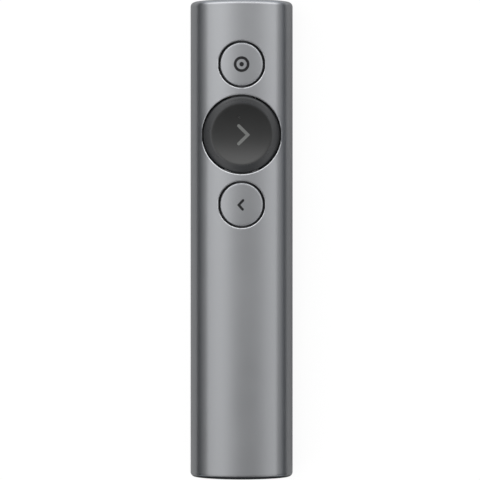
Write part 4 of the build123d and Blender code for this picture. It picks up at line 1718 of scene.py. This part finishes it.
@dataclass
class Screws:
    """The board's four cross-head screws. Sizes in millimetres.

    Args:
        places: Their places in plan.
        head: Radius of the head.
        head_height: Its height.
        shank: Radius of the thread's crests.
        core: Radius between them.
        length: Length below the head.
        pitch: Distance between crests.
        slot_reach: How far the cross reaches from the middle.
        slot_half: Half the width of its arms.
        slot_depth: Its depth.
    """

    places: tuple[Point2, ...] = ((9.5, 56.4), (-9.5, 56.4), (-9.5, -12.4), (9.5, -51.4))
    head: float = 1.1
    head_height: float = 0.5
    shank: float = 0.57
    core: float = 0.45
    length: float = 2.6
    pitch: float = 0.4
    slot_reach: float = 0.62
    slot_half: float = 0.13
    slot_depth: float = 0.3

    def template(self) -> bpy.types.Object:
        """Builds one screw with a domed head, a cross recess and a thread, upright at the origin.

        Returns:
            The screw.
        """
        shell = Shell("screw")
        steps, top = 36, self.head_height
        lip = shell.circle((0.0, 0.0), self.head * 0.78, steps, top)
        rings = [lip]
        for radius, height in ((0.9, 0.93), (0.98, 0.78), (1.0, 0.55), (1.0, 0.0)):
            rings.append(shell.circle((0.0, 0.0), self.head * radius, steps, top * height))
        rings.append(shell.circle((0.0, 0.0), self.shank, steps, 0.0))
        turns = int(self.length / self.pitch)
        for turn in range(turns):
            depth = turn * self.pitch
            for radius, drop in ((self.core, 0.35), (self.core, 0.6), (self.shank, 0.95)):
                rings.append(shell.circle((0.0, 0.0), radius, steps, -depth - self.pitch * drop))
        rings.append(shell.circle((0.0, 0.0), self.core * 0.6, steps, -self.length))
        shell.tower(rings)
        shell.fan(rings[-1], (0.0, 0.0, -self.length))
        far, near = self.slot_reach, self.slot_half
        arm = ((far, -near), (far, near), (near, near))
        cross = [(x * c - y * s, x * s + y * c) for c, s in ((1, 0), (0, 1), (-1, 0), (0, -1)) for x, y in arm]
        mouth = shell.ring([(x, y, top) for x, y in cross])
        floor = shell.ring([(x * 0.8, y * 0.8, top - self.slot_depth) for x, y in cross])
        shell.bridge(mouth, floor)
        shell.faces.append(floor)
        bound = far - 0.001

        def outside(place: Point3) -> bool:
            """True where a place on the head isn't in the cross."""
            x, y = abs(place[0]), abs(place[1])
            return min(x, y) > near - 0.001 or max(x, y) > bound

        shell.fill([lip, mouth], [], in_plan, outside)
        return shell.build()

    def make(self, scatter: Recipe, steel: bpy.types.Material) -> bpy.types.Object:
        """Sets the screws on the board, each turned at random."""
        piece = strew(scatter, "screws", self.template(), steel, self.places, math.radians(7.0), turns=12, seed=5)
        return settle(piece, "housing", "steel", "board_screws")


@dataclass
class BoardDressing:
    """Capacitors with tinned ends, soldered to the main board. Sizes in millimetres.

    Args:
        places: Their places in plan.
        length: Length of each, with its ends.
        width: Width of its body.
        height: Height of its body.
    """

    places: tuple[Point2, ...] = (
        (7.6, 16.6), (7.6, 18.2), (7.6, 19.8), (7.6, 21.4), (-7.6, 17.4), (-7.6, 19.0), (-7.6, 20.6),
        (3.4, 37.2), (3.4, 38.8), (-3.4, 37.4), (-3.4, 39.0), (5.2, 40.6), (4.8, -2.4), (6.4, -2.4), (8.0, -2.4),
        (4.8, -5.2), (6.4, -5.2), (0.6, -8.6), (2.4, -8.6), (8.2, -14.6), (8.2, -17.2), (5.4, -19.4),
        (6.2, -40.2), (8.0, -40.2), (9.4, -44.4), (5.6, -46.0), (7.4, 54.2), (-5.0, 54.6),
    )
    length: float = 1.0
    width: float = 0.5
    height: float = 0.5

    def make(self, scatter: Recipe, finishes: dict[str, bpy.types.Material]) -> list[bpy.types.Object]:
        """Sets the capacitors' bodies and their tinned ends.

        Args:
            scatter: The recipe that sets pieces on points.
            finishes: The materials by slot name.

        Returns:
            The finished pieces.
        """
        half, side = self.length / 2, self.width / 2
        low, high = (-half * 0.62, -side, 0.02), (half * 0.62, side, self.height)
        bodies = brick("ceramic", low, high, 0.04)
        ends = Shell("ends")
        pieces = []
        for sign in (-1, 1):
            near, far = sign * half * 0.55, sign * half
            rings = []
            for x in (near, far):
                tall, wide = (self.height + 0.02, side + 0.02)
                corners = ((-wide, 0.0), (wide, 0.0), (wide, tall), (-wide, tall))
                rings.append(ends.ring([(x, y, z) for y, z in corners]))
            ends.bridge(*rings)
            ends.faces += rings
        runs = (
            ("capacitor_bodies", bodies, "ceramic", ""),
            ("capacitor_ends", ends.build(), "tinned_steel", "tinned_steel"),
        )
        for name, template, finish, slot in runs:
            grown = strew(scatter, name, template, finishes[finish], self.places, math.pi / 2, turns=1, seed=3)
            pieces.append(settle(grown, "housing", slot))
        return pieces


@dataclass
class Terminals:
    """Tinned feet of the switches and pads of the chips, soldered to the main board. Sizes in millimetres.

    Args:
        switches: Place along Y of each switch.
        feet_at: Distance of a switch's feet from its centre, across and along.
        foot: Size of a foot.
        chips: Place along Y, half the width and pads on each side of each chip.
        pad: Size of a pad, the first along the way that it sticks out.
        pitch: Distance between pads.
    """

    switches: tuple[float, ...] = (POINTER_Y, NEXT_Y, BACK_Y)
    feet_at: Point2 = (2.61, 1.3)
    foot: Point3 = (0.66, 0.84, 0.22)
    chips: tuple[tuple[float, float, int], ...] = ((19.08, 2.3, 8), (38.22, 1.5, 5))
    pad: Point3 = (0.44, 0.24, 0.05)
    pitch: float = 0.5

    def make(self, scatter: Recipe, tinned: bpy.types.Material) -> list[bpy.types.Object]:
        """Sets the switches' feet and the pads at the chips' four sides.

        Args:
            scatter: The recipe that sets pieces on points.
            tinned: Their material.

        Returns:
            The finished pieces.
        """
        feet, beside, ahead = [], [], []
        for centre in self.switches:
            feet += [(x * self.feet_at[0], centre + y * self.feet_at[1]) for x in (-1, 1) for y in (-1, 1)]
        for centre, half, count in self.chips:
            for step in range(count):
                place = self.pitch * (step - (count - 1) / 2)
                beside += [(side * half, centre + place) for side in (-1, 1)]
                ahead += [(place, centre + side * half) for side in (-1, 1)]
        long, wide, tall = self.pad
        runs = (
            ("switch_feet", self.foot, feet),
            ("chip_pads_beside", (long, wide, tall), beside),
            ("chip_pads_ahead", (wide, long, tall), ahead),
        )
        pieces = []
        for name, size, places in runs:
            piece = brick(name, (-size[0] / 2, -size[1] / 2, 0.0), (size[0] / 2, size[1] / 2, size[2]), 0.015)
            pieces.append(settle(strew(scatter, name, piece, tinned, places), "housing", "tinned_steel"))
        return pieces


@dataclass
class SocketContacts:
    """Gold contacts on both faces of the charging socket's tongue. Sizes in millimetres.

    Args:
        middle: Place of the row's middle along X.
        level: Height of the tongue's middle.
        mouth: Place along Y where the contacts start.
        count: Contacts in a row.
        pitch: Distance between them.
        width: Width of a contact.
        length: Its length.
        thickness: How far it stands proud of the tongue, and reaches into it.
        tongue: Thickness of the tongue.
    """

    middle: float = 6.161
    level: float = 6.73
    mouth: float = -61.85
    count: int = 12
    pitch: float = 0.5
    width: float = 0.26
    length: float = 3.2
    thickness: float = 0.03
    tongue: float = 0.7

    def make(self, rows: Recipe, gold: bpy.types.Material) -> list[bpy.types.Object]:
        """Lays a row of contacts on each face of the tongue.

        Args:
            rows: The recipe that repeats.
            gold: Their material.

        Returns:
            The finished pieces.
        """
        pieces = []
        for name, level in (("upper", self.level + self.tongue / 2), ("lower", self.level - self.tongue / 2)):
            half = self.thickness
            strip = brick("strip", (-self.width / 2, 0.0, -half), (self.width / 2, self.length, half), 0.01)
            start = (self.middle - self.pitch * (self.count - 1) / 2, self.mouth, level)
            step = (self.pitch, 0.0, 0.0)
            grown = lay_row(rows, f"socket_contacts_{name}", strip, gold, self.count, start, step)
            pieces.append(settle(grown, "housing", "gold_contacts"))
        return pieces


# ---------------------------------------------------------------- light, floor and camera
@dataclass
class Studio:
    """Camera, floor, strip lamps and the surroundings that the metal shows. Sizes in metres.

    Args:
        camera_place: Place of the camera.
        lens: Its focal length, in millimetres.
        floor_size: Side of the square floor.
        floor_colour: Colour of the floor under the tube.
        dark_edge: Its colour beyond the tail.
        pale_edge: Its colour beyond the nose.
        lamp_distance: Distance of the lamps from the origin.
    """

    camera_place: Point3 = (-0.00044, -0.00018, 0.8)
    lens: float = 216.6
    floor_size: float = 6.0
    floor_colour: Colour = (0.62, 0.62, 0.62)
    dark_edge: Colour = (0.08, 0.08, 0.08)
    pale_edge: Colour = (0.95, 0.95, 0.95)
    lamp_distance: float = 0.6

    def set_camera(self) -> None:
        """Puts the camera straight above the button face."""
        data = bpy.data.cameras.new("camera")
        data.lens, data.sensor_width = self.lens, 36.0
        data.clip_start, data.clip_end = 0.05, 20.0
        camera = link("camera", data)
        camera.location = self.camera_place
        bpy.context.scene.camera = camera

    def lay_floor(self) -> None:
        """Lays the pale floor, which keeps the object's shadow and looks white to the camera."""
        half = self.floor_size / 2
        mesh = bpy.data.meshes.new("floor")
        corners = [(x * half, y * half, -0.00003) for x, y in ((-1, -1), (1, -1), (1, 1), (-1, 1))]
        mesh.from_pydata(corners, [], [(0, 1, 2, 3)])
        floor = link("floor", mesh)
        material = bpy.data.materials.new("floor_paper")
        material.use_nodes = True
        graph = Graph(material.node_tree)
        graph.tree.nodes.clear()
        path = graph.node("ShaderNodeLightPath").socket.node
        seen = Wire(graph, path.outputs["Is Camera Ray"])
        place = graph.node("ShaderNodeTexCoord", output="Object")
        along = graph.parts(place)[1]
        beyond_tail = along.ramp(-0.072, -0.100)
        pale = graph.blend(along.ramp(0.066, 0.080), self.floor_colour, self.pale_edge)
        colour = graph.blend(beyond_tail, pale, self.dark_edge)
        paper = graph.node("ShaderNodeBsdfDiffuse", values={"Color": colour})
        white = graph.node("ShaderNodeEmission", values={"Strength": 1.17})
        bright = seen * (0.78 + beyond_tail * 0.22)
        both = graph.node("ShaderNodeMixShader", values={0: bright, 1: paper, 2: white})
        graph.node("ShaderNodeOutputMaterial", values={"Surface": both})
        mesh.materials.append(material)

    def hang_strip(self, name: str, angle: float, size: Point2, power: float) -> None:
        """Hangs a long soft lamp parallel to the tube.

        Args:
            name: The lamp's name.
            angle: Its angle from straight up, in degrees, towards +X.
            size: Its width and length.
            power: Its power in watts.
        """
        turn = math.radians(angle)
        data = bpy.data.lights.new(name, "AREA")
        data.shape, data.size, data.size_y, data.energy = "RECTANGLE", size[0], size[1], power
        lamp = link(name, data)
        lamp.location = (self.lamp_distance * math.sin(turn), 0.0, self.lamp_distance * math.cos(turn))
        lamp.rotation_euler = (0.0, turn, 0.0)
        lamp.visible_camera = False

    def surround(self) -> None:
        """Sets the world: white to the camera, a studio to metal and glass, and soft light for the rest."""
        world = bpy.data.worlds.new("studio")
        world.use_nodes = True
        bpy.context.scene.world = world
        graph = Graph(world.node_tree)
        graph.tree.nodes.clear()
        across, along, up = graph.parts(graph.node("ShaderNodeTexCoord", output="Generated"))
        ceiling, left_dip = up.ramp(0.06, 0.76) * 0.38, across.ramp(-0.38, -0.62) * 0.06
        right_glow = across.ramp(0.5, 0.72) * (1.0 - across.ramp(0.86, 0.97)) * 0.15
        room = (0.09 + ceiling + right_glow - left_dip) * (1.0 - along.ramp(-0.03, -0.40) * 0.9)
        front = along.ramp(0.10, 0.46) * (2.25 - along.ramp(0.48, 0.66) * 1.40)
        low_back = along.ramp(-0.46, -0.54) * (0.80 - along.ramp(-0.60, -0.78) * 0.46)
        room = room + front * (1.0 - across.size().ramp(0.45, 0.85)) + low_back
        path = graph.node("ShaderNodeLightPath").socket.node
        seen = Wire(graph, path.outputs["Is Camera Ray"])
        mirrored = Wire(graph, path.outputs["Is Glossy Ray"]).most(Wire(graph, path.outputs["Is Transmission Ray"]))
        ambient = 0.40 + across.ramp(-0.3, -0.9) * 1.5
        strength = seen + (1.0 - seen) * (mirrored * room + (1.0 - mirrored) * ambient)
        tint = graph.blend(mirrored * up.ramp(0.7, 0.0), (1.0, 1.0, 1.0), (0.88, 0.97, 1.08))
        glow = graph.node("ShaderNodeBackground", values={"Color": tint, "Strength": strength})
        graph.node("ShaderNodeOutputWorld", values={"Surface": glow})
        bpy.context.scene.view_settings.view_transform = "Standard"

    def make(self) -> None:
        """Sets up the whole studio."""
        self.set_camera()
        self.lay_floor()
        self.hang_strip("strip_left", -20.0, (0.22, 1.0), 0.61)
        self.hang_strip("strip_right", 28.0, (0.16, 1.0), 0.43)
        self.surround()


GREY = (0.335, 0.342, 0.355)
BLACK = (0.0080, 0.0084, 0.0084)


def make_finishes() -> dict[str, bpy.types.Material]:
    """Builds the finishes.

    Returns:
        The materials by slot name, with the inks and the capacitors' ceramic.
    """
    rims = ((POINTER_Y, 6.5), (NEXT_Y, 10.95), (BACK_Y, 6.5))
    recipes = (
        # The tube gets painted shade along the tail's edge.
        BlastedMetal("anodised_aluminium", GREY, 0.32, rims, 65.65, painted_tail_shade=-64.54),
        # The caps get painted shade below 10.6 mm, where the gap round them lies.
        BlastedMetal("anodised_cap", GREY, 0.30, ((POINTER_Y, 5.8), (BACK_Y, 5.8)), painted_shade_below=10.6),
        # The second colour is the Next rim's painted sheen.
        SoftTouch("soft_touch", BLACK, (0.0185, 0.0200, 0.0225), NEXT_Y, 8.35),
        Moulding("end_plastic", (0.045, 0.046, 0.048), 0.45),
        Moulding("inner_plastic", (0.03, 0.03, 0.032), 0.55),
        SolderMask("circuit_board", (0.010, 0.060, 0.030)),
        Sheet("steel", (0.52, 0.52, 0.53), 0.28),
        Sheet("tinned_steel", (0.62, 0.62, 0.63), 0.30),
        Moulding("switch_case", (0.035, 0.035, 0.036), 0.40, 4.0),
        Moulding("stem_plastic", (0.72, 0.71, 0.67), 0.38, 3.0),
        Moulding("chip_package", (0.02, 0.02, 0.021), 0.50, 9.0, 0.01),
        Sheet("brass", (0.72, 0.56, 0.30), 0.26),
        Lens("led_lens", (0.03, 0.031, 0.031)),
        Moulding("connector_plastic", (0.022, 0.022, 0.022), 0.42),
        Foil("battery_pouch", (0.62, 0.63, 0.64)),
        Moulding("foam", (0.05, 0.05, 0.05), 0.9, 1.6, 0.12),
        Sleeves("lead_sleeve", (0.02, 0.02, 0.02), (0.45, 0.02, 0.02), (-4.7, 6.55)),
        Moulding("plug_plastic", (0.70, 0.67, 0.58), 0.45, 3.0),
        Moulding("rubber", (0.03, 0.03, 0.03), 0.62, 3.0, 0.01),
        Moulding("tongue_plastic", (0.022, 0.022, 0.024), 0.42),
        Sheet("gold_contacts", (0.80, 0.60, 0.25), 0.22),
        Sheet("weight_metal", (0.40, 0.40, 0.41), 0.36, 3.0),
        Moulding("ceramic", (0.30, 0.20, 0.12), 0.45, 6.0, 0.004),
        Print("dark_ink", (0.008, 0.008, 0.009)),
        Print("pale_ink", (0.190, 0.195, 0.190)),
    )
    return {recipe.name: recipe.make() for recipe in recipes}


# Width of the round on the edges of the CAD nodes that keep their shape, in millimetres
FITTINGS = {
    "nose_cap": 0.12, "tail_bezel": 0.1, "receiver_cap": 0.14, "receiver_shell": 0.06, "receiver_tongue": 0.08,
    "receiver_contacts": 0.03, "receiver_board": 0.05, "receiver_clip": 0.04, "usb_c_shell": 0.05,
    "usb_c_tongue": 0.05, "radio_chip": 0.06, "motion_sensor": 0.05, "pointer_switch": 0.06,
    "next_switch": 0.06, "back_switch": 0.06, "shield_can": 0.05, "battery_plug": 0.08, "battery_board": 0.04,
    "motor_can": 0.08, "motor_weight": 0.06, "antenna": 0.03, "pointer_stem": 0.05, "next_stem": 0.05,
    "back_stem": 0.05, "motor_boot": 0.08, "status_led": 0.04, "button_guide": 0.05, "main_board": 0.02,
    "chassis": 0.05,
}


def main() -> None:
    """Builds the studio and the sub-assemblies in order."""
    Studio().make()
    finishes = make_finishes()
    for node, slot in SLOT_OF.items():
        mesh = frame["nodes"][node].data
        mesh.materials.clear()
        mesh.materials.append(finishes[slot])
    Tube().make(finishes["anodised_aluminium"])
    face, rows, scatter = face_recipe(), row_recipe(), scatter_recipe()
    small = {"radius": 5.88, "skirt": 1.18, "foot": 8.95, "roof": 10.2, "rim_round": 0.24, "flange": 6.8}
    pointer = Button("pointer", POINTER_Y, rule=CapRule(), **small)
    back = Button("back", BACK_Y, rule=CapRule(), **small)
    forward = Button(
        "next", NEXT_Y, radius=10.42, skirt=0.92, foot=8.8, roof=10.14, rim_round=0.4, ribs=6, brow_slope=0.06,
        rule=CapRule(rise=0.3, dish_floor=11.49, dish_radius=38.0, crest=0.06), pinhole=(-0.7, 4.6, 0.38),
    )
    for button, slot in ((pointer, "anodised_cap"), (forward, "soft_touch"), (back, "anodised_cap")):
        button.make(face, slot, finishes[slot])
        button.stiffen(rows, slot, finishes[slot])
    catch = lug(reach=11.7, root=10.3, half_width=3.0, low=9.53, high=10.43)
    catch.data.transform(QUARTER_TURN)
    forward.repeat(rows, "next_lugs", catch, 2, "soft_touch", finishes["soft_touch"])
    dark, pale = finishes["dark_ink"], finishes["pale_ink"]
    Mark(Symbol.POINTER, 0.76, ring=1.77, dot=0.62).make(pointer, dark)
    Mark(Symbol.FORWARD, 0.85, ((-0.79, 2.35), (1.70, -0.11), (-0.79, -2.56))).make(forward, pale)
    Mark(Symbol.BACK, 0.7, ((0.40, 1.14), (-0.79, -0.14), (0.27, -1.33))).make(back, dark)
    for node, edge in FITTINGS.items():
        Fitting(node, edge).make(finishes)
    Screws().make(scatter, finishes["steel"])
    BoardDressing().make(scatter, finishes)
    Terminals().make(scatter, finishes["tinned_steel"])
    SocketContacts().make(rows, finishes["gold_contacts"])


if __name__ == "__main__":
    main()
